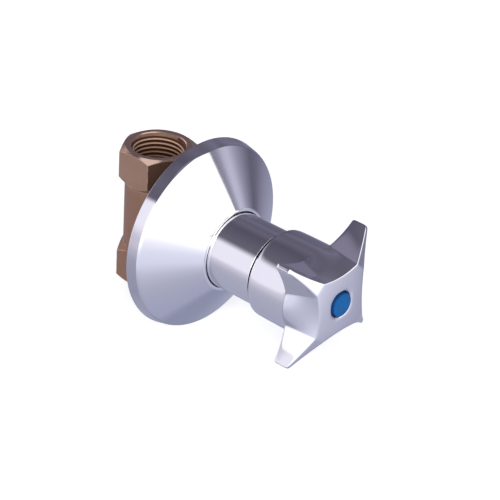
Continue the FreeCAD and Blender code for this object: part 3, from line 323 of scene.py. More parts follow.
class Shader:
    """Adds nodes to a material, a group or the world."""

    def __init__(self, tree):
        self.tree = tree

    def fill(self, node, inputs):
        """Links or sets inputs of a node, by name or number."""
        for key, value in inputs.items():
            if isinstance(value, bpy.types.NodeSocket):
                self.tree.links.new(value, node.inputs[key])
            else:
                node.inputs[key].default_value = value

    def node(self, kind, inputs=None, **values):
        node = self.tree.nodes.new("ShaderNode" + kind)
        for key, value in values.items():
            setattr(node, key, value)
        self.fill(node, inputs or {})
        return node

    def group(self, name, **inputs):
        """Outputs of one of the shared groups."""
        return self.node("Group", inputs, node_tree=GROUPS[name]).outputs

    def ramp(self, factor, stops):
        node = self.node("ValToRGB", {"Fac": factor})
        elements = node.color_ramp.elements
        while len(elements) > 1:
            elements.remove(elements[-1])
        elements[0].position = stops[0][0]
        elements[0].color = (*stops[0][1], 1)
        for position, value in stops[1:]:
            elements.new(position).color = (*value, 1)
        return node.outputs["Color"]

    def mix(self, factor, first, second):
        """First colour where the factor is 0 and second where it is 1."""
        first, second = (value if isinstance(value, bpy.types.NodeSocket) else (*value[:3], 1)
                         for value in (first, second))
        return self.node("Mix", {0: factor, 6: first, 7: second}, data_type="RGBA").outputs[2]

    def layers(self, tone, *covers):
        """Colours laid over a tone in turn, each given as its cover and the colour."""
        for cover, value in covers:
            tone = self.mix(cover, tone, value)
        return tone

    def math(self, operation, first, second=0.0):
        return self.node("Math", {0: first, 1: second}, operation=operation).outputs[0]

    def times(self, first, second):
        return self.math("MULTIPLY", first, second)

    def total(self, start, *terms):
        """A number plus a share of each mask, each given as the mask and its weight."""
        for mask, weight in terms:
            start = self.node("Math", {0: mask, 1: weight, 2: start},
                              operation="MULTIPLY_ADD").outputs[0]
        return start

    def vector(self, operation, first, second=(0, 0, 0)):
        node = self.node("VectorMath", {0: first, 1: second}, operation=operation)
        return node.outputs["Value" if operation in ("LENGTH", "DOT_PRODUCT") else "Vector"]

    def place(self):
        return self.node("TexCoord").outputs["Object"]

    def normal(self):
        return self.node("NewGeometry").outputs["True Normal"]

    def part(self, vector, axis):
        return self.node("SeparateXYZ", {0: vector}).outputs[axis]

    def spindle_radius(self, place):
        """Distance from the spindle's axis, along Y."""
        offset = self.vector("SUBTRACT", place, SPINDLE_CENTRE)
        return self.vector("LENGTH", self.vector("MULTIPLY", offset, (1, 0, 1)))

    def port_radius(self, place):
        """Distance from the ports' axis, which is Z."""
        return self.vector("LENGTH", self.vector("MULTIPLY", place, (1, 1, 0)))

    def depth(self, place):
        """Distance below the upper port's mouth."""
        return self.math("SUBTRACT", BODY_TOP, self.part(place, "Z"))

    def noise(self, place, size, detail, **inputs):
        return self.node("TexNoise", {
            "Vector": place, "Scale": self.math("DIVIDE", 1.0, size), "Detail": detail,
            **inputs}).outputs["Fac"]

    def fade(self, value, start, end, shape="SMOOTHSTEP"):
        """0 at start and 1 at end, with soft ends unless it is linear."""
        return self.node("MapRange", {"Value": value, "From Min": start, "From Max": end},
                         interpolation_type=shape).outputs["Result"]

    def camera_path(self):
        """The ray's path, and a mask of what the camera sees or sees through something clear."""
        path = self.node("LightPath").outputs
        return path, self.math("MAXIMUM", path["Is Camera Ray"], path["Is Transmission Ray"])


def new_group(name, inputs, outputs):
    """A shader node group with named number inputs and number outputs."""
    tree = bpy.data.node_groups.new(name, "ShaderNodeTree")
    for label, value in inputs.items():
        socket = tree.interface.new_socket(label, in_out="INPUT", socket_type="NodeSocketFloat")
        socket.default_value = value
    for label in outputs:
        tree.interface.new_socket(label, in_out="OUTPUT", socket_type="NodeSocketFloat")
    given, made = (tree.nodes.new(kind) for kind in ("NodeGroupInput", "NodeGroupOutput"))
    return Shader(tree), given.outputs, made


def make_grain_group():
    """Fine grain and slow blotches on Object coordinates."""
    shader, given, made = new_group("surface_grain", {"Size": 0.5 * MM, "Blotch": 6 * MM},
                                    ["Height", "Blotches"])
    place = shader.place()
    shader.fill(made, {"Height": shader.noise(place, given["Size"], 4.0, Roughness=0.6),
                       "Blotches": shader.noise(place, given["Blotch"], 3.0)})
    return shader.tree


def make_wear_group():
    """Marks the edges of a piece, broken up by noise: worn edges on the brass, a painted highlight
    on the chrome.
    """
    shader, given, made = new_group("edge_wear", {"Width": 0.5 * MM, "Break": 2 * MM}, ["Mask"])
    rounded = shader.node("Bevel", {"Radius": given["Width"]}, samples=6).outputs["Normal"]
    edge = shader.fade(shader.vector("DOT_PRODUCT", rounded, shader.normal()), 0.995, 0.93)
    broken = shader.fade(shader.noise(shader.place(), given["Break"], 3.0), 0.3, 0.6)
    shader.fill(made, {"Mask": shader.times(edge, broken)})
    return shader.tree


def make_polish_group():
    """Slow unevenness of a polished surface: a change of roughness and a very low relief."""
    shader, given, made = new_group("polish", {"Roughness": 0.08, "Haze": 0.05, "Wave": 9 * MM},
                                    ["Roughness", "Height"])
    place = shader.place()
    slow = shader.noise(place, given["Wave"], 2.0)
    fine = shader.node("TexNoise", {"Vector": place, "Scale": 900.0, "Detail": 3.0})
    both = shader.times(slow, fine.outputs["Fac"])
    shader.fill(made, {"Roughness": shader.total(given["Roughness"], (both, given["Haze"])),
                       "Height": slow})
    return shader.tree


def make_tool_marks_group():
    """Rings left by a lathe, round the spindle."""
    shader, given, made = new_group("tool_marks", {"Spacing": 0.4 * MM}, ["Height"])
    wave = shader.node("TexWave", {
        "Vector": shader.place(), "Scale": shader.math("DIVIDE", 0.16, given["Spacing"]),
        "Distortion": 0.4, "Detail": 1.0}, wave_type="BANDS", bands_direction="Y")
    shader.fill(made, {"Height": wave.outputs["Fac"]})
    return shader.tree


def new_material(name, metallic, roughness=0.5, base=None):
    """A material with a Principled BSDF whose plain values are set on its own sockets."""
    material = bpy.data.materials.new(name)
    material.use_nodes = True
    surface = material.node_tree.nodes["Principled BSDF"]
    surface.inputs["Metallic"].default_value = metallic
    surface.inputs["Roughness"].default_value = roughness
    if base:
        surface.inputs["Base Color"].default_value = (*base, 1)
    return material, Shader(material.node_tree), surface


def dress(shader, surface, tone, height, strength, distance):
    """Gives a surface its colour and its bump."""
    bump = shader.node("Bump", {"Height": height, "Strength": strength, "Distance": distance})
    shader.fill(surface, {"Base Color": tone, "Normal": bump.outputs["Normal"]})


def make_chrome(settings):
    """Chrome plate: painted shade inside sleeve and handle; thin, dull and darkened as painted
    shade under the flange; a painted highlight along its edges.
    """
    material, shader, surface = new_material("polished_chrome", 1.0, base=settings.plate)
    polish = shader.group("polish", Roughness=settings.roughness, Haze=settings.haze)
    wear = shader.group("wear", Width=0.25 * MM, Break=3 * MM)["Mask"]
    place = shader.place()
    forward = shader.times(shader.part(place, "Y"), -1.0)
    # Painted shade inside the sleeve and round the handle's step
    inside = shader.times(
        shader.fade(shader.spindle_radius(place), SLEEVE_RADIUS - 0.25 * MM,
                    SLEEVE_RADIUS - 0.35 * MM),
        shader.fade(forward, SLEEVE_FRONT + 1.1 * MM, SLEEVE_FRONT + 1.0 * MM))
    # Faces behind the flange that look back: rougher, and darkened as painted shade
    under = shader.times(shader.fade(shader.part(shader.normal(), "Y"), 0.2, 0.3),
                         shader.fade(forward, FLANGE_FRONT + 1 * MM, FLANGE_FRONT))
    # Painted highlight: the chrome's edges are lightened towards white
    tone = shader.layers(settings.plate, (shader.times(wear, 0.35), (0.97, 0.97, 0.98)),
                         (inside, settings.recess_shade), (under, settings.underside_shade))
    shader.fill(surface, {"Roughness": shader.total(polish["Roughness"], (under, 0.4))})
    dress(shader, surface, tone, polish["Height"], 0.25, 0.02 * MM)
    return material


def make_cast_brass(settings):
    """Cast brass: machined round the upper port's mouth, with a painted highlight on one corner of
    the chamfer, and painted shade inside the ports, low down and on the flat that faces the flange.
    """
    flange_side, highlight_facing = (-0.5, -0.866, 0), (-0.42, -0.243, 0.875)
    material, shader, surface = new_material("cast_brass", 0.6)
    grain = shader.group("grain", Size=settings.grain, Blotch=7 * MM)
    wear = shader.group("wear", Width=settings.edge, Break=2.5 * MM)["Mask"]
    place, normal = shader.place(), shader.normal()
    depth = shader.depth(place)
    # Painted shade: the body darkens towards the bottom
    low = shader.fade(depth, 11 * MM, 18 * MM)
    # Painted shade on the flat that faces the flange
    shaded = shader.fade(shader.vector("DOT_PRODUCT", normal, flange_side), 0.95, 0.99)
    # Painted shade inside the ports: the wall goes from the mouth colour to the bore colour with
    # depth
    inside = shader.fade(shader.port_radius(place), 11.6 * MM, 11.0 * MM)
    wall = shader.mix(shader.fade(depth, 2.4 * MM, 1.4 * MM), settings.bore, settings.mouth)
    machined = shader.times(shader.fade(shader.part(normal, "Z"), 0.15, 0.25),
                            shader.fade(depth, 4 * MM, 3 * MM))
    # Painted highlight on the chamfer's front corner, made less metallic so that its colour shows
    corner = shader.fade(shader.vector("DOT_PRODUCT", normal, highlight_facing), 0.982, 0.997)
    highlit = shader.times(machined, corner)
    tone = shader.layers(
        settings.tarnish, (shader.fade(grain["Blotches"], 0.3, 0.7), settings.casting),
        (0.65, settings.casting), (shader.fade(grain["Height"], 0.70, 0.30), settings.tarnish),
        (shader.times(low, 0.38), settings.bore), (shader.times(shaded, 0.7), settings.root),
        (inside, wall), (machined, settings.top), (highlit, settings.highlit),
        (wear, settings.worn))
    shader.fill(surface, {
        "Metallic": shader.total(0.55, (machined, 0.4), (highlit, -0.8)),
        "Roughness": shader.total(0.46, (wear, -0.14), (machined, -0.2))})
    dress(shader, surface, tone, grain["Height"], 0.35, 0.03 * MM)
    return material


def make_thread(settings, crest_radius, root_radius):
    """Cut brass, bright on the crests, with painted shade between them and deeper in the port."""
    material, shader, surface = new_material("cut_brass", 0.15, 0.35)
    grain = shader.group("grain", Size=0.3 * MM, Blotch=5 * MM)
    place = shader.place()
    # Painted shade in the thread's roots and deeper in the port
    deep = shader.fade(shader.port_radius(place), crest_radius, root_radius)
    low = shader.fade(shader.depth(place), 3 * MM, 10 * MM)
    tone = shader.layers(settings.crest, (deep, settings.root),
                         (shader.times(grain["Blotches"], 0.3), settings.root),
                         (shader.times(low, 0.6), settings.root))
    dress(shader, surface, tone, grain["Height"], 0.2, 0.02 * MM)
    return material


def make_turned(name, bright, dark, roughness):
    """Turned metal with lathe rings."""
    material, shader, surface = new_material(name, 1.0, roughness)
    marks = shader.group("marks", Spacing=0.35 * MM)
    grain = shader.group("grain", Size=0.3 * MM, Blotch=4 * MM)
    tone = shader.mix(shader.fade(grain["Blotches"], 0.35, 0.65), dark, bright)
    dress(shader, surface, tone, marks["Height"], 0.3, 0.02 * MM)
    return material


def make_matt(name, base, deep, roughness, size, relief):
    """Rubber, fibre or plastic with a fine moulded grain."""
    material, shader, surface = new_material(name, 0.0, roughness)
    grain = shader.group("grain", Size=size, Blotch=3 * MM)
    tone = shader.mix(shader.fade(grain["Blotches"], 0.3, 0.7), deep, base)
    dress(shader, surface, tone, grain["Height"], 0.4, relief)
    return material


def make_plastic(settings):
    """Plastic of the index button, with painted shade on its side."""
    material, shader, surface = new_material("blue_plastic", 0.0, 0.4)
    surface.inputs["Specular IOR Level"].default_value = 0.15
    grain = shader.group("grain", Size=0.25 * MM, Blotch=3 * MM)
    # Painted shade on the button's side
    side = shader.fade(shader.spindle_radius(shader.place()), settings.radius - 0.3 * MM,
                       settings.radius - 0.1 * MM)
    tone = shader.layers(tuple(part * 0.9 for part in settings.plastic),
                         (shader.fade(grain["Blotches"], 0.3, 0.7), settings.plastic),
                         (side, settings.side))
    dress(shader, surface, tone, grain["Height"], 0.2, 0.01 * MM)
    return material


class FinishesOperator(bpy.types.Operator):
    """Build the materials and give the inner solids theirs"""
    bl_idname = "valve.finishes"
    bl_label = "Finishes"

    def execute(self, context):
        GROUPS.update(grain=make_grain_group(), wear=make_wear_group(), polish=make_polish_group(),
                      marks=make_tool_marks_group())
        scene = context.scene
        thread = scene.valve_threads
        MATERIALS.update(
            polished_chrome=make_chrome(scene.valve_chrome),
            cast_brass=make_cast_brass(scene.valve_brass),
            cut_brass=make_thread(scene.valve_brass, thread.wall_radius - thread.height,
                                  thread.wall_radius - 0.5 * thread.height),
            turned_brass=make_turned("turned_brass", (0.78, 0.58, 0.32), (0.62, 0.44, 0.22), 0.3),
            spring_steel=make_turned("spring_steel", (0.6, 0.6, 0.61), (0.45, 0.45, 0.47), 0.35),
            black_rubber=make_matt("black_rubber", (0.03, 0.03, 0.032), (0.012, 0.012, 0.013), 0.55,
                                   0.2 * MM, 0.02 * MM),
            red_fibre=make_matt("red_fibre", (0.42, 0.09, 0.06), (0.28, 0.05, 0.035), 0.75,
                                0.35 * MM, 0.04 * MM),
            white_nylon=make_matt("white_nylon", (0.85, 0.84, 0.80), (0.74, 0.73, 0.69), 0.45,
                                  0.4 * MM, 0.02 * MM),
            blue_plastic=make_plastic(scene.valve_button))
        for part in frame["record"]["subparts"]:
            paint(frame["nodes"][part["node"]], MATERIALS[part["material_slot"]])
        return {"FINISHED"}


# Pieces


class FlangeOperator(bpy.types.Operator):
    """Turn the wall flange"""
    bl_idname = "valve.flange"
    bl_label = "Wall flange"

    def execute(self, context):
        use = context.scene.valve_flange
        groove_setback, groove_length, groove_depth, boss_wall = (
            part * MM for part in (1.4, 2.6, 2.2, 1.5))
        bore = SLEEVE_RADIUS + use.lip_gap
        lip = bore + use.lip_width
        rim, rim_front = FLANGE_RADIUS - use.rim_draft, FLANGE_BACK + use.rim_depth
        run, rise = rim - lip, FLANGE_FRONT - rim_front
        slope = rise / run
        cone_wall = use.wall * math.hypot(run, rise) / run
        groove, groove_front = bore + groove_depth, FLANGE_FRONT - groove_setback
        groove_back = groove_front - groove_length
        boss, boss_back = groove + boss_wall, groove_back - boss_wall
        boss_corner = FLANGE_FRONT - cone_wall - (boss - lip) * slope
        points = [
            (FLANGE_RADIUS, FLANGE_BACK), (rim, rim_front), (lip, FLANGE_FRONT),
            (bore, FLANGE_FRONT), (bore, groove_front), (groove, groove_front),
            (groove, groove_back), (bore, groove_back), (bore, boss_back),
            (boss, boss_back), (boss, boss_corner),
            (rim - use.wall, rim_front - cone_wall + use.wall * slope),
            (FLANGE_RADIUS - use.wall, FLANGE_BACK)]
        # Foot and front of the rim, both edges of the lip, the boss and the foot's inner edge
        corners = {0: 0.5 * MM, 1: 0.8 * MM, 2: 0.5 * MM, 3: 0.45 * MM, 9: 0.3 * MM, 12: 0.2 * MM}
        piece = turned_piece("flange_plate", points, corners, use.steps)
        deliver(piece, "fixed", "polished_chrome", "wall_flange")
        return {"FINISHED"}


class SleeveOperator(bpy.types.Operator):
    """Turn the chromed sleeve"""
    bl_idname = "valve.sleeve"
    bl_label = "Sleeve"

    def execute(self, context):
        use = context.scene.valve_sleeve
        bore, foot_front = SLEEVE_RADIUS - use.wall, SLEEVE_BACK + use.foot_length
        points = [
            (SLEEVE_RADIUS, SLEEVE_BACK), (SLEEVE_RADIUS, SLEEVE_FRONT),
            (SLEEVE_RADIUS - use.mouth, SLEEVE_FRONT), (bore, SLEEVE_FRONT - use.wall),
            (bore, foot_front), (use.foot_radius, foot_front), (use.foot_radius, SLEEVE_BACK)]
        corners = {0: use.edge, 1: use.edge, 6: use.edge}
        piece = turned_piece("sleeve_tube", points, corners, steps=128)
        deliver(piece, "fixed", "polished_chrome", "sleeve")
        return {"FINISHED"}


class ButtonOperator(bpy.types.Operator):
    """Turn the index button"""
    bl_idname = "valve.button"
    bl_label = "Index button"

    def execute(self, context):
        use = context.scene.valve_button
        plug_length, plug_edge = 1.4 * MM, 0.2 * MM
        front, shoulder = HANDLE_FACE + use.height, BUTTON_BACK + plug_length
        # The crown falls like a parabola: by a quarter at half the radius
        points = [
            (0, front), (use.radius * 0.5, front - use.crown * 0.25),
            (use.radius, front - use.crown), (use.radius, shoulder), (use.plug, shoulder),
            (use.plug, BUTTON_BACK), (0, BUTTON_BACK)]
        corners = {2: use.edge, 5: plug_edge}
        piece = turned_piece("button_cap", points, corners, steps=96, closed=False)
        deliver(piece, "turning", "blue_plastic", "index_button")
        return {"FINISHED"}


COLUMNS = 32
ARM_COLUMNS = 4
SCOOP_ROWS = 4
ARM_STAGES = 5
ARM_HALF = math.pi * ARM_COLUMNS / COLUMNS
# Subdivision leaves a ring of that many columns this share of its radius
ROUND_SHRINK = (2 + math.cos(math.tau / COLUMNS)) / 3
# Shares of the widest rounding
ROUNDING = {"tip": 1.0, "rim": 0.48, "arm": 0.36, "scoop": 0.45}


class HandleOperator(bpy.types.Operator):
    """Model the cross handle: turned hub, scoops, star face and four arms"""
    bl_idname = "valve.handle"
    bl_label = "Handle"

    def execute(self, context):
        self.use = context.scene.valve_handle
        self.button_radius = context.scene.valve_button.radius
        piece = start_piece("cross_handle")
        self.turn_hub(piece)
        self.raise_star(piece)
        for arm in range(4):
            self.draw_arm(piece, self.use.arm_angle + arm * math.pi / 2)
        self.mark_edges(piece)
        leave_mesh()
        apply_modifier(piece, "BEVEL", limit_method="WEIGHT", width=self.use.edge, segments=2)
        apply_modifier(piece, "SUBSURF", levels=2, render_levels=2)
        bpy.ops.object.shade_smooth()
        deliver(piece, "turning", "polished_chrome", "handle")
        return {"FINISHED"}

    def turn_hub(self, piece):
        """Hub, step, spigot, hollow and bore, in one profile; the bore is plain, without splines.
        """
        use = self.use
        step_front = use.seam + use.step_length
        scoop_back = HANDLE_FACE - use.scoops
        inner_edge, clearance = 0.12 * MM, 0.04 * MM
        spigot, groove, hollow, boss, bore, hole, pocket = (
            part * MM for part in (13.4, 12.75, 11.2, 7.0, 4.9, 2.3, 4.4))
        groove_back, groove_front, hollow_floor = (
            HANDLE_BACK + part * MM for part in (1.2, 3.2, 21))
        web_back, web_front, recess_floor = (HANDLE_FACE - part * MM for part in (10.9, 7.9, 2.5))
        recess = self.button_radius + clearance
        points = [
            (use.hub_radius, scoop_back), (use.hub_radius, step_front),
            (use.step_radius, step_front), (use.step_radius, use.seam), (spigot, use.seam),
            (spigot, groove_front), (groove, groove_front), (groove, groove_back),
            (spigot, groove_back), (spigot, HANDLE_BACK), (hollow, HANDLE_BACK),
            (hollow, hollow_floor), (boss, hollow_floor), (boss, HANDLE_BACK),
            (bore, HANDLE_BACK), (bore, web_back), (hole, web_back), (hole, web_front),
            (pocket, web_front), (pocket, recess_floor), (recess, recess_floor),
            (recess, HANDLE_FACE)]
        places = [on_ray(r / ROUND_SHRINK, f, use.arm_angle) for r, f in points]
        draw_wire(places)
        edges = [(place, inner_edge) for place in places[2:-1]]
        round_corners(piece, [(places[1], use.shoulder)] + edges, 2)
        spin_wire(COLUMNS)

    def outline(self, angle, rise):
        """A point of the scooped part: rise is 0 on the hub's edge and 1 on the star face."""
        use = self.use
        arm = round((angle - use.arm_angle) / (math.pi / 2)) * math.pi / 2 + use.arm_angle
        local = angle - arm
        reach, half = (use.star_corner * wave(use.star_angle) for wave in (math.cos, math.sin))
        if abs(local) <= ARM_HALF + CLOSE:
            across = local / ARM_HALF
            front = Vector((reach, across * half))
        else:
            middle = math.copysign(math.pi / 4, local)
            chord = use.star_corner * math.sin(math.pi / 4 - use.star_angle)
            sagitta = use.star_corner * math.cos(math.pi / 4 - use.star_angle) - use.star_waist
            radius = (chord ** 2 + sagitta ** 2) / (2 * sagitta)
            sweep = math.asin(chord / radius) * (middle - local) / (math.pi / 4 - ARM_HALF)
            centre = use.star_waist + radius
            flat = Vector((centre - radius * math.cos(sweep), -radius * math.sin(sweep)))
            front = Vector((flat.x * math.cos(middle) - flat.y * math.sin(middle),
                            flat.x * math.sin(middle) + flat.y * math.cos(middle)))
        back = Vector((math.cos(local), math.sin(local))) * (use.hub_radius / ROUND_SHRINK)
        flat = back.lerp(front, rise)
        forward = HANDLE_FACE - use.scoops * (1 - rise) - use.face_drop * rise
        return on_ray(flat.length, forward, arm + math.atan2(flat.y, flat.x))

    def raise_star(self, piece):
        """Extrudes the hub's front edge row by row to the star, and closes the face."""
        use = self.use
        scoop_back = HANDLE_FACE - use.scoops
        choose(piece, "EDGE", lambda e: e.is_boundary and all(
            abs(-v.co.y - scoop_back) < CLOSE for v in e.verts))
        spokes = range(COLUMNS)
        before = {spoke: self.outline(use.arm_angle + spoke * math.tau / COLUMNS, 0)
                  for spoke in spokes}
        step = FORWARD * (use.scoops / SCOOP_ROWS)
        for row in range(1, SCOOP_ROWS + 1):
            bpy.ops.mesh.extrude_region_move(TRANSFORM_OT_translate={"value": step})
            mesh = bmesh.from_edit_mesh(piece.data)
            after = {spoke: self.outline(use.arm_angle + spoke * math.tau / COLUMNS,
                                         row / SCOOP_ROWS) for spoke in spokes}
            for vertex in mesh.verts:
                if vertex.select:
                    start = vertex.co - step
                    vertex.co = after[min(spokes, key=lambda k: (before[k] - start).length)]
            before = after
            bmesh.update_edit_mesh(piece.data)
        choose(piece, "EDGE", lambda e: e.is_boundary)
        bpy.ops.mesh.bridge_edge_loops(number_cuts=3, interpolation="LINEAR")
        mesh = bmesh.from_edit_mesh(piece.data)
        face_back = HANDLE_FACE - use.face_drop - 0.05 * MM
        for vertex in mesh.verts:
            middle = vertex.co - SPINDLE_CENTRE
            out = (math.hypot(middle.x, middle.z) - BUTTON_RADIUS) / (
                use.star_corner - BUTTON_RADIUS)
            if -middle.y > face_back and out > 0.1:
                vertex.co.y = use.face_drop * out ** 2 - HANDLE_FACE
        bmesh.update_edit_mesh(piece.data)

    def draw_arm(self, piece, angle):
        """Extrudes the star's sector outwards and narrows it to the arm's tip."""
        use = self.use
        out = Vector((math.cos(angle), 0, math.sin(angle)))
        side = Vector((-math.sin(angle), 0, math.cos(angle)))
        scoop_back = HANDLE_FACE - use.scoops
        nearest_root = 14 * MM
        hub_half = use.hub_radius * math.sin(ARM_HALF)
        star_half = use.star_corner * math.sin(use.star_angle)

        def in_sector(face):
            """True for the scoops' faces between the arm's two sides, not for the star face."""
            middle = face.calc_center_median() - SPINDLE_CENTRE
            rise = (-middle.y - scoop_back) / use.scoops
            half = (1 - rise) * hub_half + rise * star_half
            return (abs(face.normal.y) <= 0.7 and 0 < rise < 1
                    and middle.dot(out) > nearest_root and abs(middle.dot(side)) < half)

        if choose(piece, "FACE", in_sector) != ARM_COLUMNS * SCOOP_ROWS:
            raise RuntimeError("an arm's root isn't a full grid of faces")
        roots = {}
        for column in range(ARM_COLUMNS + 1):
            for row in range(SCOOP_ROWS + 1):
                across = column / ARM_COLUMNS * 2 - 1
                roots[across, row / SCOOP_ROWS] = self.outline(
                    angle + across * ARM_HALF, row / SCOOP_ROWS)
        grid = roots
        for stage in range(1, ARM_STAGES + 1):
            along = stage / ARM_STAGES
            bpy.ops.mesh.extrude_region_move(TRANSFORM_OT_translate={"value": out * MM})
            mesh = bmesh.from_edit_mesh(piece.data)
            bend = use.hollow * 4 * along * (1 - along)
            placed = {}
            for vertex in mesh.verts:
                if not vertex.select:
                    continue
                start = vertex.co - out * MM
                across, rise = key = min(grid, key=lambda k: (grid[k] - start).length)
                root = roots[key] - SPINDLE_CENTRE
                tip_forward = scoop_back - use.tip_setback + rise * use.tip_depth
                tip = out * use.arm_reach + side * across * use.tip_half + FORWARD * tip_forward
                point = root.lerp(tip, along)
                point -= side * across * bend
                point += FORWARD * bend * (1 - rise)
                vertex.co = SPINDLE_CENTRE + point
                placed[key] = vertex.co.copy()
            bmesh.update_edit_mesh(piece.data)
            grid = placed

    def mark_edges(self, piece):
        """Gives each sharp edge outside the hub's profile its share of the rounding."""
        use = self.use
        back_limit = HANDLE_FACE - use.scoops - 0.5 * MM
        rim_back, rim_radius = HANDLE_FACE - 0.9 * MM, use.star_corner + 0.1 * MM
        tip_radius, arm_radius, inner_radius = use.arm_reach - 0.1 * MM, 17.5 * MM, 8 * MM
        sharp = math.radians(16)
        mesh = bmesh.from_edit_mesh(piece.data)
        mesh.normal_update()
        weight = mesh.edges.layers.float.get("bevel_weight_edge") or mesh.edges.layers.float.new(
            "bevel_weight_edge")
        for edge in mesh.edges:
            start, end = (v.co for v in edge.verts)
            middle = (start + end) / 2 - SPINDLE_CENTRE
            radius = math.hypot(middle.x, middle.z)
            if -middle.y < back_limit or radius < inner_radius or edge.calc_face_angle(0) < sharp:
                continue
            if radius > tip_radius and abs(end.y - start.y) < 0.1 * MM:
                kind = "tip"
            elif -middle.y > rim_back and radius < rim_radius:
                kind = "rim"
            else:
                kind = "arm" if radius > arm_radius else "scoop"
            edge[weight] = ROUNDING[kind]
        bmesh.update_edit_mesh(piece.data)


class ThreadOperator(bpy.types.Operator):
    """Cut the pipe threads into both ports"""
    bl_idname = "valve.threads"
    bl_label = "Port threads"

    def execute(self, context):
        use = context.scene.valve_threads
        piece = start_piece("port_threads")
        top = BODY_TOP - use.start
        root, crest = use.wall_radius + 0.1 * MM, use.wall_radius - use.height
        # In shares of the pitch
        half_foot, half_crest = 0.49, 0.0686
        rows = [(root, -half_foot), (crest, -half_crest), (crest, half_crest), (root, half_foot)]
        places = [Vector((radius, 0, top - use.pitch * (use.turns + 0.5 + part)))
                  for radius, part in rows]
        draw_wire(places)
        bpy.ops.mesh.select_all(action="SELECT")
        bpy.ops.mesh.edge_face_add()
        bpy.ops.mesh.select_mode(type="FACE")
        bpy.ops.mesh.delete(type="ONLY_FACE")
        bpy.ops.object.mode_set(mode="OBJECT")
        apply_modifier(piece, "SCREW", axis="Z", angle=math.tau, screw_offset=use.pitch,
                       iterations=use.turns, steps=64, render_steps=64, use_merge_vertices=True,
                       use_smooth_shade=True)
        self.fade_ends(piece, places, use)
        bpy.ops.object.mode_set(mode="EDIT")
        choose(piece, "EDGE", lambda e: e.is_boundary)
        bpy.ops.mesh.fill_holes(sides=4)
        bpy.ops.mesh.select_all(action="SELECT")
        bpy.ops.mesh.duplicate()
        bpy.ops.transform.rotate(value=math.pi, orient_axis="Y", center_override=SPINDLE_CENTRE)
        leave_mesh()
        bpy.ops.object.shade_smooth_by_angle(angle=math.radians(50))
        deliver(piece, "fixed", "cast_brass", finish="cut_brass")
        return {"FINISHED"}

    def fade_ends(self, piece, places, use):
        """Lets the thread rise from the wall over its first and last half turn."""
        least = 0.02
        low = sum(place.z for place in places) / len(places)
        for vertex in piece.data.vertices:
            radius = math.hypot(vertex.co.x, vertex.co.y)
            if radius < use.wall_radius:
                turn = (vertex.co.z - low) / use.pitch
                rise = min(1.0, 2 * max(turn, least), 2 * max(use.turns - turn, least))
                new = use.wall_radius - (use.wall_radius - radius) * rise
                vertex.co.x *= new / radius
                vertex.co.y *= new / radius


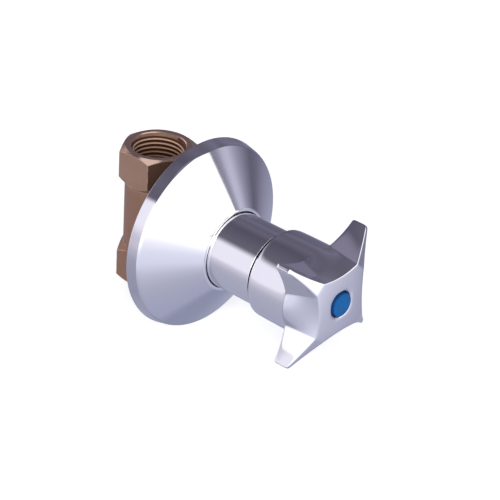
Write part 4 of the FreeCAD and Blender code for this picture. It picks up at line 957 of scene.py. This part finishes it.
class StudioOperator(bpy.types.Operator):
    """Set up the floor, the tent, the lamps and the camera"""
    bl_idname = "valve.studio"
    bl_label = "Studio"

    def execute(self, context):
        use = context.scene.valve_studio
        self.lay_floor(use)
        self.hang_tent(context.scene, use)
        self.place_lamp("key_lamp", (-0.95, -0.85, 0.62), 0.7, use.key_power)
        self.place_lamp("fill_lamp", (-0.3, -1.2, 0.9), 0.9, use.fill_power)
        self.place_camera(context.scene)
        context.scene.view_settings.view_transform = "Standard"
        return {"FINISHED"}

    def lay_floor(self, use):
        """A floor just below the flange: white to the camera, and it keeps the shadow."""
        bpy.ops.object.select_all(action="DESELECT")
        bpy.ops.mesh.primitive_plane_add(size=6, location=(0, 0, 0))
        floor = bpy.context.object
        floor.name = "studio_floor"
        bpy.ops.object.mode_set(mode="EDIT")
        bpy.ops.mesh.select_all(action="SELECT")
        bpy.ops.transform.translate(value=(0, 0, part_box("wall_flange")[0].z - 0.4 * MM))
        bpy.ops.mesh.subdivide(number_cuts=3)
        bpy.ops.object.mode_set(mode="OBJECT")
        material, shader, surface = new_material("studio_floor", 0.0, 0.7)
        noise = shader.node("TexNoise", {"Vector": shader.place(), "Scale": 6.0}).outputs["Fac"]
        tone = shader.mix(noise, use.floor, tuple(0.97 * part for part in use.floor))
        glow = shader.times(shader.camera_path()[1], 0.62)
        surface.inputs["Emission Color"].default_value = (1, 1, 1, 1)
        shader.fill(surface, {"Base Color": tone, "Emission Strength": glow})
        floor.data.materials.append(material)
        floor.visible_glossy = False

    def hang_tent(self, scene, use):
        """White to the camera; a tent with a dark ceiling and pale ground to polished metal."""
        world = bpy.data.worlds.new("studio_tent")
        scene.world = world
        world.use_nodes = True
        world.node_tree.nodes.clear()
        shader = Shader(world.node_tree)
        ray = shader.node("TexCoord").outputs["Generated"]
        parts = shader.node("SeparateXYZ", {0: ray}).outputs
        heading = shader.math("DEGREES", shader.math("ARCTAN2", parts["Y"], parts["X"]))
        walls = self.tent(shader, parts, heading, use)
        ground = self.ground(shader, parts, heading)
        sight = shader.mix(shader.fade(parts["Z"], -0.02, -0.2), walls, ground)
        soft = shader.mix(shader.fade(parts["X"], 0.3, -0.6), use.dim_side, use.bright_side)
        path, seen = shader.camera_path()
        total = shader.layers(soft, (path["Is Glossy Ray"], sight), (seen, (1, 1, 1)))
        background = shader.node("Background", {"Color": total, "Strength": 1.0})
        shader.node("OutputWorld", {"Surface": background.outputs[0]})

    def tent(self, shader, parts, heading, use):
        """Above the horizon: white sides, a dark ceiling, and a streaky dark side on the right."""
        band = shader.fade(heading, -50, 100, "LINEAR")
        streaks = shader.ramp(band, [
            (0.0, (0.36, 0.36, 0.46)), (0.03, (0.38, 0.38, 0.48)), (0.06, (0.42, 0.42, 0.53)),
            (0.085, (0.56, 0.55, 0.70)), (0.12, (0.53, 0.52, 0.67)), (0.17, (0.33, 0.32, 0.43)),
            (0.21, (0.22, 0.21, 0.29)), (0.25, (0.13, 0.125, 0.18)), (0.30, (0.15, 0.145, 0.21)),
            (0.38, (0.20, 0.19, 0.27)), (0.50, (0.19, 0.18, 0.26)), (0.60, (0.11, 0.105, 0.16)),
            (0.80, (0.10, 0.095, 0.14))])
        ceiling = shader.ramp(shader.fade(parts["X"], -0.7, 0.9, "LINEAR"), [
            (0.0, (0.12, 0.108, 0.155)), (0.18, (0.135, 0.125, 0.17)),
            (0.33, (0.115, 0.108, 0.155)), (0.54, (0.095, 0.088, 0.13)),
            (0.69, (0.145, 0.13, 0.19)), (0.80, (0.125, 0.118, 0.165)),
            (0.89, (0.18, 0.165, 0.24)), (0.95, (0.13, 0.122, 0.17)), (1.0, (0.18, 0.17, 0.24))])
        ceiling = shader.mix(shader.fade(parts["Z"], 0.95, 1.0), ceiling, (0.24, 0.22, 0.31))
        dark = shader.mix(shader.fade(parts["Z"], 0.30, 0.48), streaks, ceiling)
        open_side = shader.math("MAXIMUM", shader.fade(band, 0.022, 0.014),
                                shader.fade(band, 0.80, 0.92))
        behind = shader.fade(parts["Y"], 0.20, 0.50)
        before = shader.fade(parts["Y"], -0.15, -0.45)
        top = shader.total(0.68, (behind, -0.10), (before, 0.28))
        soft = shader.total(0.03, (behind, 0.07))
        low = shader.math("DIVIDE", shader.math("SUBTRACT", top, parts["Z"]), soft)
        lit = shader.times(open_side, shader.fade(low, -1.0, 1.0))
        sideways = shader.fade(parts["Y"], 0.18, 0.24)
        dusk = shader.times(shader.fade(parts["Z"], 0.30, 0.0), shader.fade(parts["Y"], 0.50, 0.42))
        back = shader.mix(dusk, use.tent_back, (0.62, 0.59, 0.71))
        white = shader.mix(shader.math("MAXIMUM", behind, sideways), use.tent_front, back)
        return shader.mix(lit, dark, white)

    def ground(self, shader, parts, heading):
        """Below the horizon: pale on the left, dark on the right and grey behind the valve."""
        down = shader.times(parts["Z"], -1.0)
        pale = shader.ramp(down, [
            (0.0, (1.2, 1.2, 1.2)), (0.12, (1.05, 1.05, 1.15)), (0.30, (0.80, 0.81, 0.97)),
            (0.45, (0.74, 0.75, 0.92)), (0.61, (0.545, 0.55, 0.69)), (0.72, (0.46, 0.47, 0.60)),
            (0.97, (0.38, 0.385, 0.53))])
        dark = shader.ramp(down, [
            (0.0, (0.14, 0.135, 0.19)), (0.12, (0.17, 0.165, 0.23)), (0.30, (0.26, 0.26, 0.37)),
            (0.58, (0.37, 0.38, 0.51)), (0.87, (0.29, 0.305, 0.43))])
        grey = shader.ramp(down, [
            (0.0, (0.90, 0.87, 0.98)), (0.12, (0.74, 0.71, 0.84)), (0.38, (0.50, 0.49, 0.60)),
            (0.55, (0.44, 0.445, 0.56)), (0.80, (0.41, 0.42, 0.55)), (0.93, (0.34, 0.345, 0.45))])
        sideways = shader.times(shader.fade(parts["Y"], 0.50, 0.42), shader.fade(down, 0.92, 0.82))
        grey = shader.mix(shader.times(sideways, 0.22), grey, (0, 0, 0.05))
        pale_side = shader.math("MAXIMUM", shader.fade(heading, -20, -62),
                                shader.fade(heading, 163, 173))
        return shader.layers(dark, (shader.fade(heading, 45, 75), grey), (pale_side, pale))

    def place_lamp(self, name, place, size, power):
        data = bpy.data.lights.new(name, "AREA")
        data.shape = "DISK"
        data.size = size
        data.energy = power
        lamp = bpy.data.objects.new(name, data)
        bpy.context.scene.collection.objects.link(lamp)
        lamp.location = place
        aim = SPINDLE_CENTRE + FORWARD * 0.05 - Vector(place)
        lamp.rotation_euler = aim.to_track_quat("-Z", "Y").to_euler()

    def place_camera(self, scene):
        """The photograph's viewpoint, fitted to the valve's own edges."""
        turn, lift, roll = (math.radians(a) for a in (-48.776, 29.893, 3.46))
        back = Vector((math.sin(turn) * math.cos(lift), -math.cos(turn) * math.cos(lift),
                       math.sin(lift)))
        right = Vector((math.cos(turn), math.sin(turn), 0))
        upward = back.cross(right)
        columns = (right * math.cos(roll) + upward * math.sin(roll),
                   upward * math.cos(roll) - right * math.sin(roll), back)
        data = bpy.data.cameras.new("studio_camera")
        data.lens = 158.9
        data.sensor_width = 36
        data.clip_start, data.clip_end = 0.01, 20
        camera = bpy.data.objects.new("studio_camera", data)
        scene.collection.objects.link(camera)
        matrix = Matrix([list(row) for row in zip(*columns)]).to_4x4()
        matrix.translation = (-0.5316, -0.5146, 0.4375)
        camera.matrix_world = matrix
        scene.camera = camera


class ValvePanel(bpy.types.Panel):
    """Steps of the valve model"""
    bl_idname = "VIEW3D_PT_valve"
    bl_label = "Concealed stop valve"
    bl_space_type = "VIEW_3D"
    bl_region_type = "UI"
    bl_category = "Valve"

    def draw(self, context):
        for operator in OPERATORS:
            self.layout.operator(operator.bl_idname)
        for key in SETTINGS:
            group = getattr(context.scene, key)
            box = self.layout.box()
            for name in group.__annotations__:
                box.prop(group, name)


SETTINGS = {
    "valve_studio": StudioSettings, "valve_chrome": ChromeSettings, "valve_brass": BrassSettings,
    "valve_flange": FlangeSettings, "valve_sleeve": SleeveSettings,
    "valve_handle": HandleSettings, "valve_threads": ThreadSettings,
    "valve_button": ButtonSettings,
}
OPERATORS = (FinishesOperator, FlangeOperator, SleeveOperator, HandleOperator, ButtonOperator,
             ThreadOperator, StudioOperator)


def register():
    for group in SETTINGS.values():
        bpy.utils.register_class(group)
    for key, group in SETTINGS.items():
        setattr(bpy.types.Scene, key, PointerProperty(type=group))
    for operator in OPERATORS:
        bpy.utils.register_class(operator)
    bpy.utils.register_class(ValvePanel)


def unregister():
    bpy.utils.unregister_class(ValvePanel)
    for operator in reversed(OPERATORS):
        bpy.utils.unregister_class(operator)
    for key, group in SETTINGS.items():
        delattr(bpy.types.Scene, key)
        bpy.utils.unregister_class(group)


def main():
    register()
    for operator in OPERATORS:
        family, step = operator.bl_idname.split(".")
        getattr(getattr(bpy.ops, family), step)()


if __name__ == "__main__":
    main()
